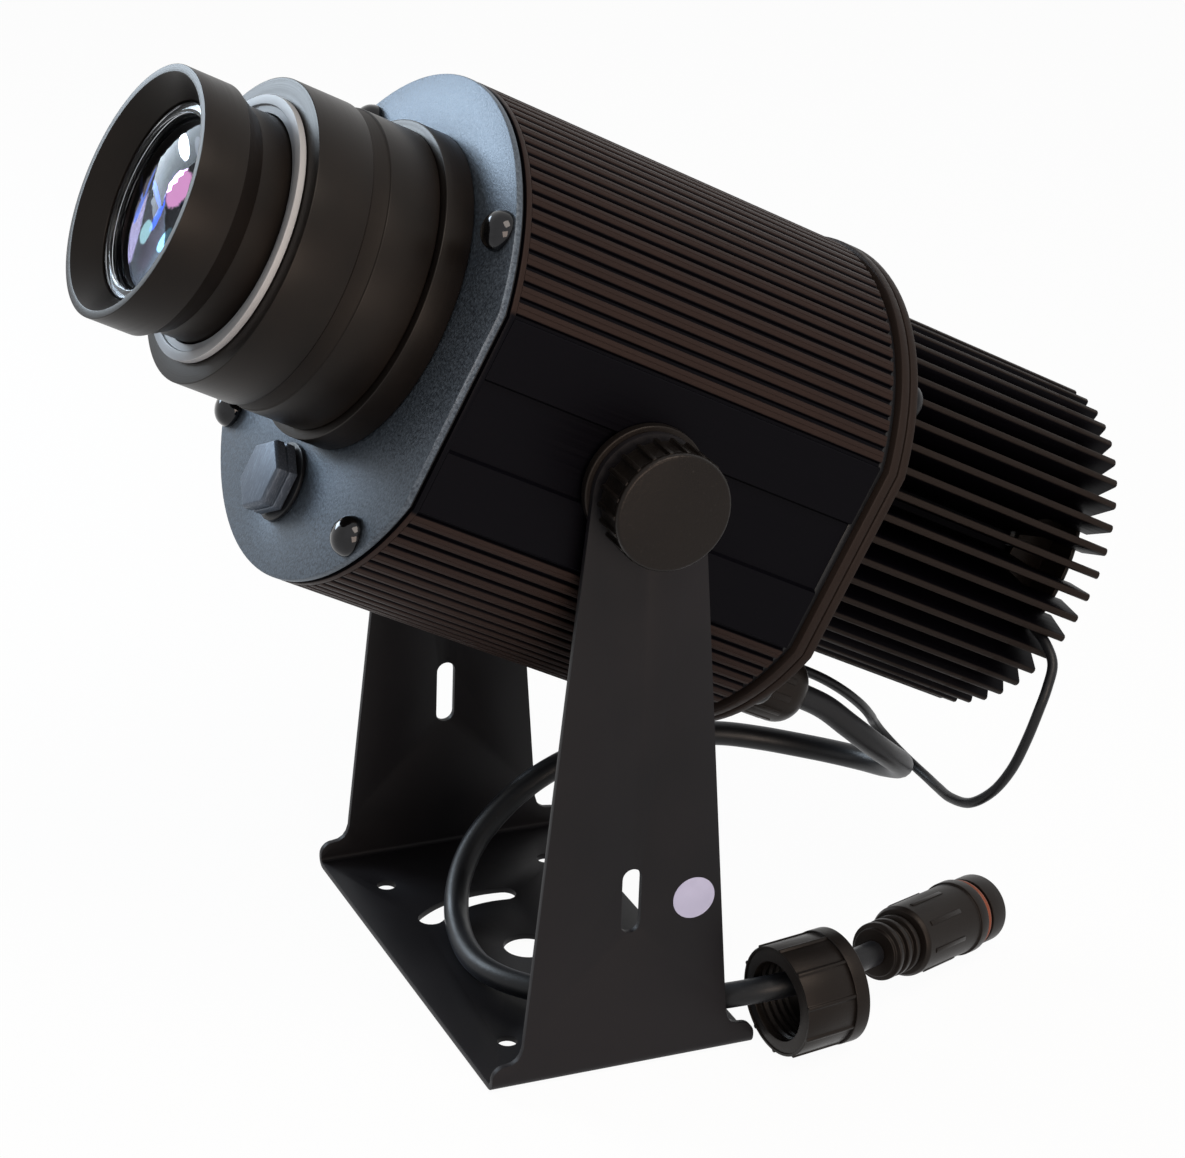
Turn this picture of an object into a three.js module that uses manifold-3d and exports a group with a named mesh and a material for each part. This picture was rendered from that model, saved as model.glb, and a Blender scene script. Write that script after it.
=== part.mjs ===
// Gobo projector on a U bracket, in millimetres, +Z up.
//
// The head is drawn about its own pivot: X runs along the pivot axis, Y is up across the head and
// Z runs forward along the lens axis. One group then tilts it into the bracket. The bracket stands
// on Z = 0 with its middle below the pivot. The finished object has its origin at the middle of the
// underside of its bounding box, measured without the cords.

import * as THREE from 'three';
import { mergeVertices } from 'three/addons/utils/BufferGeometryUtils.js';
import Module from 'manifold-3d';

const wasm = await Module();
wasm.setup();

// Clearances
const seatGap = 0.3; // between two pieces that seat on each other
const boltClearance = 0.3; // radial, round a screw or stud in its hole
const cutOverrun = 2; // how far a cut runs past the face it opens
const mergeDistance = 0.0001; // corners closer than this are one corner

// Bracket
const bracketDepth = 89;
const sheetThickness = 2;
const bendRadius = 3.5; // outside of the bends
const pivotHeight = 195.5;
const armTopRadius = 17.9;
const armHalfWidth = 34.1; // where the straight edges end above the foot
const armShoulderHeight = 17;
const footHeight = 8.6; // top of the foot beyond the arm
const footCornerRadius = 4.4;
const armSlotHeight = 22;
const armSlotWidth = 6.5;
const armSlotRise = 59.5; // slot centre above the underside
const cornerHoleDiameter = 6.5;
const cornerHoleSpanAcross = 109.6;
const cornerHoleSpanAlong = 58.6;
const centreHoleDiameter = 16;
const arcSlotRadius = 36.5;
const arcSlotWidth = 8.5;
const arcSlotSweepDegrees = 49.5;
const arcSlotTurnDegrees = 15.25; // middle of the near slot, turned from the pivot axis towards the rear
const stickerRadius = 7;
const stickerThickness = 0.2;
const stickerRise = 57;
const stickerBack = 21.1; // behind the arm's middle

// Pivot hardware
const studRadius = 4;
const studReach = 14; // into the head from the outside of its flat side
const studInKnob = 9;
const spacerRadius = 19.5;
const spacerDiscThickness = 3.1;
const washerRadius = 12;
const washerThickness = 1.5;
const knobCollarRadius = 12.5;
const knobCollarLength = 2.5;
const knobRadius = 17.6;
const knobRidgeHeight = 0.8;
const knobRidgeWidth = 1.7;
const knobRidges = 21;
const knobBodyLength = 12;
const knobCapRadius = 18.8;
const knobCapThickness = 2;

// Housing
const tiltDegrees = 26.86; // lens above the horizontal at rest
const housingRadius = 80.5;
const housingFlatCut = 6.2; // how far each flat side lies inside the round
const housingLength = 137.4;
const housingAhead = 64.4; // front end ahead of the pivot
const housingWall = 5.5;
const housingFlatWall = 8.3;
const ribLandLength = 1.9; // plain band ahead of the grooves
const grooveWidth = 1.5;
const grooveFloorWidth = 0.8;
const grooveDepth = 1.2;
const groovesPerArc = 38;
const grooveToFlat = 1.22; // along the round, from a flat side to the first groove's middle
const channelHalfHeight = 12;
const channelDepth = 1.6;
const lobeRadius = 5.5;
const lobeInset = 6.9; // screw lobes inside the round
const lobeDegrees = 42.66; // from the pivot axis

// End covers
const frontGasketThickness = 0.7;
const frontGasketInset = 1.2;
const frontPlateThickness = 2.3;
const rearGasketThickness = 2.2;
const rearGasketInset = 1.8;
const rearCoverOverhang = 0.8;
const endFrameThickness = 3.2;
const rearPlateThickness = 3.2;
const coverScrewRadius = 2;
const coverScrewLength = 20;
const coverScrewHeadRadius = 6.3;
const coverScrewHeadHeight = 5.6;
const coverScrewRimHeight = 1.1;

// Pressure plug in the front plate
const plugDrop = 54; // below the pivot line
const plugThreadRadius = 6;
const plugThreadLength = 8;
const plugAcrossFlats = 20.5;
const plugLowBand = 3;
const plugGroove = 0.7;
const plugTopBand = 3.6;
const plugChamfer = 0.9;
const plugSealRadius = 12.5;
const plugSealThickness = 1.2;

// Lens tube and focus barrel
const opticalRise = 11.8; // optical axis above the pivot line
const flangeRadius = 50.7;
const flangeThickness = 9.7;
const flangeOpeningRadius = 40; // in the front plate
const flangeSpigotLength = 5;
const flangeSeatDepth = 6.7;
const tubeRadius = 47.8;
const tubeSpigotRadius = 44.1;
const tubeLength = 41.8;
const tubeBandStart = 17.2;
const tubeBandLength = 6;
const tubeBandDepth = 0.5;
const barrelRadius = 35.6;
const barrelClearance = 0.4; // radial, in the tube and the lock ring
const lockRingRadius = 41.5;
const lockRingLength = 2.2;
const lockRingStepRadius = 38.4;
const lockRingStepDepth = 0.8;
const barrelTail = 2.3; // behind the front of the lens flange
const barrelNeckOut = 8.9; // visible neck ahead of the lock ring
const barrelConeLength = 6.5;
const hoodRadius = 39.2;
const hoodLength = 14.9;
const hoodMouthRadius = 37.4;
const hoodMouthDepth = 7.7;
const barrelBore = 28.5;
const barrelStopRadius = 26;
const barrelStopLength = 7.7;
const lensSeatRadius = 30.7;

// Projection lenses
const rearLensEdge = 7;
const rearLensBulge = 5;
const rearLensDomeRadius = 24;
const spacerWall = 1.4;
const frontLensEdge = 4.3;
const frontLensBulge = 5;
const retainingRingLength = 2;
const retainingRingWall = 3.1;

// Light engine
const emitterRadius = 10;
const emitterThickness = 1.5;
const boardRadius = 21;
const boardThickness = 2;
const spigotRadius = 26.4; // round front end of the heat sink's core
const spigotLength = 10.8;
const condenserBore = 27;
const condenserWall = 2.5;
const condenserFlangeRadius = 40;
const condenserFlangeThickness = 4.3;
const condenserLength = 53;
const condenserStopRadius = 24;
const condenserStopLength = 2.7;
const condenserStopAhead = 17; // front of the stop, ahead of the flange's seat
const condenserLensEdge = 3;
const condenserLensBulge = 7;
const condenserSpacerLength = 18;
const goboRadius = 25.2;
const goboThickness = 1;
const goboHolderLength = 6.8;
const goboHolderBore = 22;
const goboLip = 0.8;
const goboCentreHole = 5;
const goboHoleRadius = 3;
const goboHoleCircle = 14;
const goboHoles = 6;
const driverWidth = 64;
const driverHeight = 28;
const driverLength = 110;
const driverBack = 14; // front of the driver behind the front of the housing

// Heat sink and fan
const sinkRadius = 56;
const sinkLength = 98.5;
const coreRadius = 27;
const fins = 44;
const firstFinDegrees = 3;
const finTipWidth = 2.3;
const finRootWidth = 1.9;
const finTipRound = 0.7;
const pocketRadius = 43.5;
const sinkLobeRadius = 4.2;
const fanSize = 60;
const fanDepth = 15;
const fanHoleSpacing = 50;
const fanCornerRadius = 4;
const fanDuctRadius = 28.6;
const fanHubRadius = 13;
const fanHubDepth = 2.5;
const fanStrutWidth = 3;
const fanStruts = 4;
const fanShaftRadius = 1.5;
const rotorHubRadius = 12.5;
const rotorRunningGap = 0.8;
const bladeTipClearance = 1.2;
const blades = 7;
const bladeThickness = 1.3;
const bladeChord = 13;
const bladeCamber = 1.6;
const bladePitchDegrees = 40;
const smallScrewRadius = 1.5;
const smallScrewHeadRadius = 2.8;
const smallScrewHeadHeight = 1.8;
const fanScrewBite = 8; // into the heat sink
const engineScrewBite = 12;

// Gland and grommet in the rear plate
const glandAcross = 36;
const glandDrop = 52.5;
const glandThreadRadius = 7.8;
const glandThreadLength = 11;
const glandAcrossFlats = 20.4;
const glandBaseLength = 5;
const glandNeckRadius = 9.5;
const glandNeckLength = 0.8;
const glandCapRadius = 11.4;
const glandCapLength = 14.4;
const glandDomeLength = 7;
const glandMouthRadius = 5.4;
const glandNutAcrossFlats = 19;
const glandNutLength = 5;
const grommetAcross = 14;
const grommetDrop = 50;
const grommetRadius = 5;
const grommetThickness = 1.2;
const grommetNeckRadius = 3.2;
const grommetNeckLength = 5;

// Cords and what lies on them
const cableDiameter = 8.3;
const leadDiameter = 3.4;
const nutFlangeRadius = 18.6;
const nutFlangeLength = 5.5;
const nutRadius = 17.5;
const nutLength = 23.5;
const nutRibs = 20;
const nutRibHeight = 0.8;
const nutBoreRadius = 12.8;
const nutBackWall = 4;
const nutBackHoleRadius = 10.5;
const nutThreadRadius = 13.6;
const nutThreads = 2;
const plugTailRadius = 8;
const plugRingRadius = 9.6;
const plugTailLength = 14;
const plugRings = 3;
const plugBodyRadius = 11.8;
const plugBodyLength = 30.5;
const plugFlangeRadius = 12.5;
const plugFlangeLength = 4.2;
const plugGrooveLength = 4.2;
const plugGrooveRadius = 9.4;
const plugRingSection = 1.4;
const plugNoseRadius = 11.5;
const plugNoseLength = 8;
const plugSocketRadius = 9.5;
const plugSocketDepth = 6;
const plugPins = 3;
const plugPinRadius = 1.3;
const plugPinCircle = 5.8;
const floorGap = 0.1; // below the loose nut
const nutMiddle = [85.3, 59.8]; // across and along, from the bracket's middle
const nutHeadingDegrees = 99.3; // from the width, towards the rear
const plugHeadingDegrees = 117.5;
const plugDroopDegrees = 7;

// The cable's route from the gland to the plug, from the bracket's middle on the floor
const cableRoute = [
  [36, 74.7, 98.8],
  [36.3, 85.3, 92.4],
  [36.4, 94.8, 84.2],
  [35.1, 104.1, 76],
  [31.4, 113, 68.3],
  [24.9, 120.9, 61.2],
  [15.6, 125.8, 54.8],
  [4.3, 126.8, 49.8],
  [-7.4, 124, 47.1],
  [-17.8, 117.5, 46],
  [-26.1, 108.2, 46.3],
  [-32.1, 97.4, 47.7],
  [-36.1, 85.7, 49.4],
  [-38.2, 73.5, 50.4],
  [-39.4, 61.1, 50.3],
  [-40.7, 48.7, 49.4],
  [-42, 36.4, 47.1],
  [-42.7, 24.6, 42.6],
  [-42.4, 13.5, 36.5],
  [-40.8, 3.3, 29],
  [-37.2, -5.7, 20.9],
  [-30.3, -12.7, 13.1],
  [-20.2, -17.5, 7.9],
  [-8.4, -20.8, 6.4],
  [3.8, -22.9, 6.4],
  [16.1, -22.9, 6.9],
  [27.9, -19.7, 7.9],
  [38.5, -13.4, 9],
  [47.7, -5.1, 9.8],
  [55.4, 4.7, 10.4],
  [61.9, 15.2, 11.4],
  [68, 25.9, 13],
  [73.9, 36.6, 15.8],
  [80, 46.8, 19.5],
  [82.2, 57.8, 21.3],
  [80.9, 69.4, 21.7],
  [76, 80.2, 20.6],
  [70.4, 91, 19.1],
];

// The fan lead's route from its grommet to the fan
const leadRoute = [
  [14, 52.6, 112.8],
  [14.1, 63.3, 107.2],
  [14.2, 74.2, 102],
  [14, 85.1, 96.8],
  [13.2, 95.6, 90.9],
  [11.6, 105.3, 83.8],
  [8.5, 113.9, 75.9],
  [2.4, 120.9, 68.1],
  [-2.5, 124.9, 63.2],
  [-4.7, 129.6, 57.3],
  [-2.5, 134.5, 51.5],
  [3.4, 138, 47.6],
  [11.3, 139.1, 46.5],
  [19.4, 138.7, 46.8],
  [31.5, 137.4, 48.6],
  [43.1, 138.2, 52.2],
  [51.9, 141.1, 60.1],
  [57.9, 143.8, 70.4],
  [61.8, 145.9, 81.8],
  [63.8, 148.5, 93.6],
  [63.3, 151.2, 101.2],
  [59.8, 154.5, 107.5],
  [53.5, 155, 112.1],
  [45.8, 154.6, 114.6],
  [38.2, 154.6, 117.2],
  [30.9, 154.8, 119.7],
];

// Facets
const largeSides = 30;
const mediumSides = 20;
const innerSides = 16;
const smallSides = 12;
const screwSides = 8;
const hexSides = 6;
const arcSteps = 3; // for each rounded stretch of an outline
const bendSteps = 1;
const coverArcSteps = 6;
const roomArcSteps = 4;
const domeSteps = 3;
const cordSides = 8;
const cableSteps = 28;
const leadSteps = 28;

// Places along the lens axis that follow from the sizes above
const housingFront = housingAhead;
const housingRear = housingAhead - housingLength;
const frontGasketBack = housingFront + seatGap;
const frontPlateBack = frontGasketBack + frontGasketThickness + seatGap;
const frontPlateFace = frontPlateBack + frontPlateThickness;
const flangeBack = frontPlateFace + seatGap;
const flangeFace = flangeBack + flangeThickness;
const tubeBack = flangeFace + seatGap;
const tubeFace = tubeBack + tubeLength;
const lockRingBack = tubeFace + seatGap;
const lockRingFace = lockRingBack + lockRingLength;
const coneBack = lockRingFace + barrelNeckOut;
const hoodBack = coneBack + barrelConeLength;
const hoodFace = hoodBack + hoodLength;
const barrelBack = flangeFace - barrelTail;
const lensStop = barrelBack + barrelStopLength;
const rearGasketFace = housingRear - seatGap;
const endFrameFace = rearGasketFace - rearGasketThickness - seatGap;
const rearPlateFace = endFrameFace - endFrameThickness - seatGap;
const rearPlateBack = rearPlateFace - rearPlateThickness;
const sinkFace = rearPlateBack - seatGap;
const sinkBack = sinkFace - sinkLength;
const pocketDepth = fanDepth + smallScrewHeadHeight + seatGap + seatGap;
const pocketFloor = sinkBack + pocketDepth;
const fanFace = pocketFloor - seatGap;
const fanBack = fanFace - fanDepth;
const boardBack = sinkFace + spigotLength + seatGap;
const condenserBack = rearPlateFace + seatGap;
const condenserStop = condenserBack + condenserStopAhead;
const housingFlat = housingRadius - housingFlatCut;
const armInside = housingFlat + seatGap + spacerDiscThickness + seatGap;
const armOutside = armInside + sheetThickness;
const holeRadius = coverScrewRadius + boltClearance;
const smallHoleRadius = smallScrewRadius + boltClearance;
const barrelWayRadius = barrelRadius + barrelClearance;

const radians = THREE.MathUtils.degToRad;

// Finishes
const finishes = {
  anodised: { color: 0x1b1a1c, roughness: 0.45, metalness: 0.6 },
  machined: { color: 0x17171a, roughness: 0.35, metalness: 0.6 },
  plateBlack: { color: 0x2a3038, roughness: 0.5, metalness: 0.4 },
  paintedSteel: { color: 0x17161a, roughness: 0.45, metalness: 0.3 },
  blackSteel: { color: 0x08080a, roughness: 0.15, metalness: 0.7 },
  brightSteel: { color: 0xb9bcc0, roughness: 0.3, metalness: 1 },
  blackPlastic: { color: 0x111113, roughness: 0.5, metalness: 0 },
  blackRubber: { color: 0x15161b, roughness: 0.55, metalness: 0 },
  orangeRubber: { color: 0xb4502a, roughness: 0.5, metalness: 0 },
  paper: { color: 0xc9c6e4, roughness: 0.5, metalness: 0 },
  glass: { color: 0xdfe6ee, roughness: 0.05, metalness: 0 },
  clearPlastic: { color: 0xe8ecf0, roughness: 0.15, metalness: 0 },
  aluminium: { color: 0xa8abb0, roughness: 0.4, metalness: 1 },
  whiteBoard: { color: 0xe6e6e0, roughness: 0.6, metalness: 0 },
  phosphor: { color: 0xf2d75a, roughness: 0.5, metalness: 0 },
};

// Solids

// One closed body with its faces pointing out, with shared corners joined.
function closed(geometry) {
  geometry.deleteAttribute('normal');
  geometry.deleteAttribute('uv');
  const merged = mergeVertices(geometry, mergeDistance);
  const corners = merged.index.array;
  const places = merged.attributes.position;
  const kept = [];
  const a = new THREE.Vector3();
  const b = new THREE.Vector3();
  const c = new THREE.Vector3();
  let volume = 0;
  for (let i = 0; i < corners.length; i += 3) {
    const [p, q, r] = [corners[i], corners[i + 1], corners[i + 2]];
    if (p === q || q === r || r === p) continue;
    kept.push([p, q, r]);
    a.fromBufferAttribute(places, p);
    b.fromBufferAttribute(places, q);
    c.fromBufferAttribute(places, r);
    volume += a.dot(b.cross(c));
  }
  merged.setIndex(kept.flatMap(([p, q, r]) => (volume < 0 ? [p, r, q] : [p, q, r])));
  return merged;
}

function solid(geometry) {
  const body = closed(geometry);
  return new wasm.Manifold(new wasm.Mesh({
    numProp: 3,
    vertProperties: new Float32Array(body.attributes.position.array),
    triVerts: new Uint32Array(body.index.array),
  }));
}

function geometryOf(body) {
  const mesh = body.getMesh();
  const geometry = new THREE.BufferGeometry();
  geometry.setAttribute('position', new THREE.BufferAttribute(new Float32Array(mesh.vertProperties), 3));
  geometry.setIndex(new THREE.BufferAttribute(new Uint32Array(mesh.triVerts), 1));
  return geometry;
}

// The first shape with all the others cut away.
function cut(base, ...tools) {
  const rest = tools.flat().reduce((body, tool) => body.subtract(solid(tool)), solid(base));
  return geometryOf(rest);
}

function join(...shapes) {
  const whole = shapes.flat().map(solid).reduce((body, other) => body.add(other));
  return geometryOf(whole);
}

// A round body about Z from its outline as [radius, height] points, closed on the axis or on itself.
function turned(outline, sides) {
  const points = outline.map(([radius, height]) => new THREE.Vector2(radius, height));
  const [first, last] = [points[0], points[points.length - 1]];
  if (first.x > 0 || last.x > 0) points.push(first.clone());
  const geometry = new THREE.LatheGeometry(points, sides);
  geometry.rotateX(Math.PI / 2);
  return closed(geometry);
}

function rod(radius, from, to, sides) {
  return turned([[0, from], [radius, from], [radius, to], [0, to]], sides);
}

function ring(inner, outer, from, to, sides) {
  return turned([[inner, from], [outer, from], [outer, to], [inner, to]], sides);
}

// A straight body with the shape as its section, along Z.
function prism(shape, from, to, curveSegments = arcSteps) {
  const options = { depth: to - from, bevelEnabled: false, curveSegments };
  const geometry = new THREE.ExtrudeGeometry(shape, options);
  geometry.translate(0, 0, from);
  return closed(geometry);
}

function at(geometry, x, y, z = 0) {
  return geometry.clone().translate(x, y, z);
}

// Turns a body drawn along Z so that it runs along X, with its X and Y along Y and Z.
function alongX(geometry) {
  const basis = new THREE.Matrix4().makeBasis(
    new THREE.Vector3(0, 1, 0),
    new THREE.Vector3(0, 0, 1),
    new THREE.Vector3(1, 0, 0),
  );
  return geometry.applyMatrix4(basis);
}

function roundCorners(x, y, radius, sides) {
  const corners = [];
  for (let i = 0; i < sides; i += 1) {
    const angle = (i / sides) * Math.PI * 2;
    corners.push(new THREE.Vector2(x + radius * Math.cos(angle), y + radius * Math.sin(angle)));
  }
  return corners;
}

function roundHole(x, y, radius, sides) {
  return new THREE.Path(roundCorners(x, y, radius, sides));
}

// Points of an arc as [radius, height], for a turned outline: a cap that rises from the rim.
function domeOutline(rimRadius, rimHeight, rise) {
  const points = [];
  for (let i = 0; i <= domeSteps; i += 1) {
    const angle = (i / domeSteps) * (Math.PI / 2);
    const radius = i === domeSteps ? 0 : rimRadius * Math.cos(angle);
    points.push([radius, rimHeight + rise * Math.sin(angle)]);
  }
  return points;
}

// A shallow lens face: part of a sphere through the rim and the apex.
function lensFace(rimRadius, rimHeight, bulge) {
  const sphere = (rimRadius * rimRadius + bulge * bulge) / (2 * Math.abs(bulge));
  const spread = Math.asin(rimRadius / sphere);
  const side = Math.sign(bulge);
  const points = [];
  for (let i = 0; i <= domeSteps; i += 1) {
    const angle = spread * (1 - i / domeSteps);
    const rise = sphere * (Math.cos(angle) - Math.cos(spread));
    points.push([sphere * Math.sin(angle), rimHeight + side * rise]);
  }
  return points;
}

function mesh(name, geometry, finish) {
  const body = new THREE.Mesh(geometry, new THREE.MeshStandardMaterial(finishes[finish]));
  body.name = name;
  return body;
}

function placed(body, x, y, z = 0) {
  body.position.set(x, y, z);
  return body;
}

// Bracket

function bracketSection() {
  const bend = bendRadius - sheetThickness;
  const top = pivotHeight + armTopRadius + cutOverrun;
  const section = new THREE.Shape();
  section.moveTo(-armOutside, top);
  section.lineTo(-armOutside, bendRadius);
  section.absarc(-armOutside + bendRadius, bendRadius, bendRadius, Math.PI, Math.PI * 1.5, false);
  section.lineTo(armOutside - bendRadius, 0);
  section.absarc(armOutside - bendRadius, bendRadius, bendRadius, -Math.PI / 2, 0, false);
  section.lineTo(armOutside, top);
  section.lineTo(armInside, top);
  section.lineTo(armInside, bendRadius);
  section.absarc(armInside - bend, bendRadius, bend, 0, -Math.PI / 2, true);
  section.lineTo(-armInside + bend, sheetThickness);
  section.absarc(-armInside + bend, bendRadius, bend, -Math.PI / 2, -Math.PI, true);
  section.lineTo(-armInside, top);
  return section;
}

// The bracket from the side: a foot as deep as the base, tapering arms and round tops.
function bracketSide() {
  const half = bracketDepth / 2;
  const reach = Math.hypot(armHalfWidth, pivotHeight - armShoulderHeight);
  const toShoulder = Math.atan2(armShoulderHeight - pivotHeight, armHalfWidth);
  const touch = toShoulder + Math.acos(armTopRadius / reach);
  const cornerStart = half - footCornerRadius;
  const side = new THREE.Shape();
  side.moveTo(-half, 0);
  side.lineTo(half, 0);
  side.lineTo(half, footHeight - footCornerRadius);
  side.absarc(cornerStart, footHeight - footCornerRadius, footCornerRadius, 0, Math.PI / 2, false);
  side.quadraticCurveTo(armHalfWidth, footHeight, armHalfWidth, armShoulderHeight);
  side.absarc(0, pivotHeight, armTopRadius, touch, Math.PI - touch, false);
  side.lineTo(-armHalfWidth, armShoulderHeight);
  side.quadraticCurveTo(-armHalfWidth, footHeight, -cornerStart, footHeight);
  side.absarc(-cornerStart, footHeight - footCornerRadius, footCornerRadius, Math.PI / 2, Math.PI, false);
  side.lineTo(-half, 0);
  return side;
}

function slotShape(width, height) {
  const radius = width / 2;
  const reach = height / 2 - radius;
  const slot = new THREE.Shape();
  slot.absarc(0, reach, radius, 0, Math.PI, false);
  slot.absarc(0, -reach, radius, Math.PI, Math.PI * 2, false);
  slot.lineTo(radius, reach);
  return slot;
}

// A slot bent round the base's centre, from one end of its sweep to the other.
function arcSlotShape(middleDegrees) {
  const half = radians(arcSlotSweepDegrees) / 2;
  const middle = radians(middleDegrees);
  const [from, to] = [middle - half, middle + half];
  const radius = arcSlotWidth / 2;
  const slot = new THREE.Shape();
  const end = (angle) => [arcSlotRadius * Math.cos(angle), arcSlotRadius * Math.sin(angle)];
  slot.absarc(0, 0, arcSlotRadius + radius, from, to, false);
  slot.absarc(...end(to), radius, to, to + Math.PI, false);
  slot.absarc(0, 0, arcSlotRadius - radius, to, from, true);
  slot.absarc(...end(from), radius, from + Math.PI, from + Math.PI * 2, false);
  return slot;
}

function bracket() {
  const across = [-armOutside - cutOverrun, armOutside + cutOverrun];
  const through = [-cutOverrun, sheetThickness + cutOverrun];
  const reach = bracketDepth / 2 + cutOverrun;
  const folded = prism(bracketSection(), -reach, reach, bendSteps);
  folded.rotateX(Math.PI / 2);
  const side = alongX(prism(bracketSide(), ...across));
  const blank = geometryOf(solid(folded).intersect(solid(side)));
  const armSlot = alongX(prism(slotShape(armSlotWidth, armSlotHeight), ...across));
  const pivotHole = alongX(rod(studRadius + boltClearance, ...across, smallSides));
  const holes = [
    at(armSlot, 0, 0, armSlotRise),
    at(pivotHole, 0, 0, pivotHeight),
    rod(centreHoleDiameter / 2, ...through, smallSides),
    prism(arcSlotShape(arcSlotTurnDegrees), ...through),
    prism(arcSlotShape(arcSlotTurnDegrees + 180), ...through),
  ];
  const corner = rod(cornerHoleDiameter / 2, ...through, screwSides);
  for (const x of [-cornerHoleSpanAcross / 2, cornerHoleSpanAcross / 2]) {
    for (const y of [-cornerHoleSpanAlong / 2, cornerHoleSpanAlong / 2]) {
      holes.push(at(corner, x, y));
    }
  }
  return mesh('bracket', cut(blank, holes), 'paintedSteel');
}

function roundSticker() {
  const disc = alongX(rod(stickerRadius, armOutside, armOutside + stickerThickness, mediumSides));
  return placed(mesh('round_sticker', disc, 'paper'), 0, stickerBack, stickerRise);
}

// Pivot hardware, drawn along Z outwards from the head's middle plane

function knobShape() {
  const points = [];
  const step = (Math.PI * 2) / knobRidges;
  const half = knobRidgeWidth / knobRadius / 2;
  const slope = half / 2;
  const ridgeRadius = knobRadius + knobRidgeHeight;
  for (let i = 0; i < knobRidges; i += 1) {
    const middle = i * step;
    points.push([knobRadius, middle - half - slope]);
    points.push([ridgeRadius, middle - half + slope]);
    points.push([ridgeRadius, middle + half - slope]);
    points.push([knobRadius, middle + half + slope]);
  }
  const corners = points.map(([r, angle]) => new THREE.Vector2(r * Math.cos(angle), r * Math.sin(angle)));
  return new THREE.Shape(corners);
}

function knob(name, collarStart) {
  const bodyStart = collarStart + knobCollarLength;
  const capStart = bodyStart + knobBodyLength;
  const capEdge = knobCapThickness / 2;
  const cap = turned([
    [0, capStart - capEdge],
    [knobCapRadius, capStart - capEdge],
    [knobCapRadius, capStart + capEdge],
    [knobCapRadius - capEdge, capStart + knobCapThickness],
    [0, capStart + knobCapThickness],
  ], mediumSides);
  const collar = rod(knobCollarRadius, collarStart, bodyStart + capEdge, mediumSides);
  const body = prism(knobShape(), bodyStart, capStart);
  const bore = rod(
    studRadius + boltClearance, collarStart - cutOverrun, collarStart + studInKnob + seatGap, smallSides,
  );
  return mesh(name, cut(join(collar, body, cap), bore), 'blackPlastic');
}

function pivotSide(side, outwards) {
  const group = new THREE.Group();
  group.rotation.y = outwards * (Math.PI / 2);
  const bore = studRadius + boltClearance;
  const washerStart = armOutside + seatGap;
  const knobStart = washerStart + washerThickness + seatGap;
  const disc = ring(bore, spacerRadius, housingFlat + seatGap, armInside - seatGap, mediumSides);
  const washer = ring(bore, washerRadius, washerStart, washerStart + washerThickness, smallSides);
  const stud = rod(studRadius, housingFlat - studReach, knobStart + studInKnob, smallSides);
  group.add(
    mesh(`${side}_spacer_disc`, disc, 'blackPlastic'),
    mesh(`${side}_knob_washer`, washer, 'blackSteel'),
    mesh(`${side}_knob_stud`, stud, 'brightSteel'),
    knob(`${side}_knob`, knobStart),
  );
  return group;
}

// Housing

// Round above and below, flat at the sides.
function bodyShape(radius, flat) {
  const corner = Math.acos(flat / radius);
  const shape = new THREE.Shape();
  shape.absarc(0, 0, radius, corner, Math.PI - corner, false);
  shape.absarc(0, 0, radius, Math.PI + corner, Math.PI * 2 - corner, false);
  return shape;
}

// The housing's section outside: round stretches and a shallow channel in each flat. Grooves cut the
// round stretches, except in the plain band at the front, where their floors lie at the surface.
function housingShape(grooved) {
  const corner = Math.acos(housingFlat / housingRadius);
  const first = corner + grooveToFlat / housingRadius;
  const pitch = (Math.PI - 2 * first) / (groovesPerArc - 1);
  const floorRadius = housingRadius - grooveDepth;
  const mouth = grooveWidth / housingRadius / 2;
  const floor = grooveFloorWidth / floorRadius / 2;
  const polar = (r, angle) => new THREE.Vector2(r * Math.cos(angle), r * Math.sin(angle));
  const points = [];
  for (const turn of [0, Math.PI]) {
    points.push(polar(housingRadius, turn + corner));
    for (let i = 0; i < groovesPerArc; i += 1) {
      const middle = turn + first + i * pitch;
      points.push(polar(housingRadius, middle - mouth));
      if (grooved) points.push(polar(floorRadius, middle - floor), polar(floorRadius, middle + floor));
      points.push(polar(housingRadius, middle + mouth));
    }
    points.push(polar(housingRadius, turn + Math.PI - corner));
    const side = turn === 0 ? -1 : 1;
    const channel = housingFlat - channelDepth;
    points.push(new THREE.Vector2(side * housingFlat, -side * channelHalfHeight));
    points.push(new THREE.Vector2(side * channel, -side * (channelHalfHeight - channelDepth / 2)));
    points.push(new THREE.Vector2(side * channel, side * (channelHalfHeight - channelDepth / 2)));
    points.push(new THREE.Vector2(side * housingFlat, side * channelHalfHeight));
  }
  return new THREE.Shape(points);
}

function lobePlaces() {
  const reach = housingRadius - lobeInset;
  const across = reach * Math.cos(radians(lobeDegrees));
  const up = reach * Math.sin(radians(lobeDegrees));
  return [[1, 1], [-1, 1], [-1, -1], [1, -1]].map(([x, y]) => [x * across, y * up]);
}

// The room inside the housing, which leaves a lobe of metal round each corner screw.
function roomInside(from, to) {
  const outline = bodyShape(housingRadius - housingWall, housingFlat - housingFlatWall);
  const room = prism(outline, from, to, roomArcSteps);
  const lobe = rod(lobeRadius, from - cutOverrun, to + cutOverrun, screwSides);
  return cut(room, lobePlaces().map(([x, y]) => at(lobe, x, y)));
}

function coverScrewHoles(from, to) {
  const hole = rod(holeRadius, from, to, screwSides);
  return lobePlaces().map(([x, y]) => at(hole, x, y));
}

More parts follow.
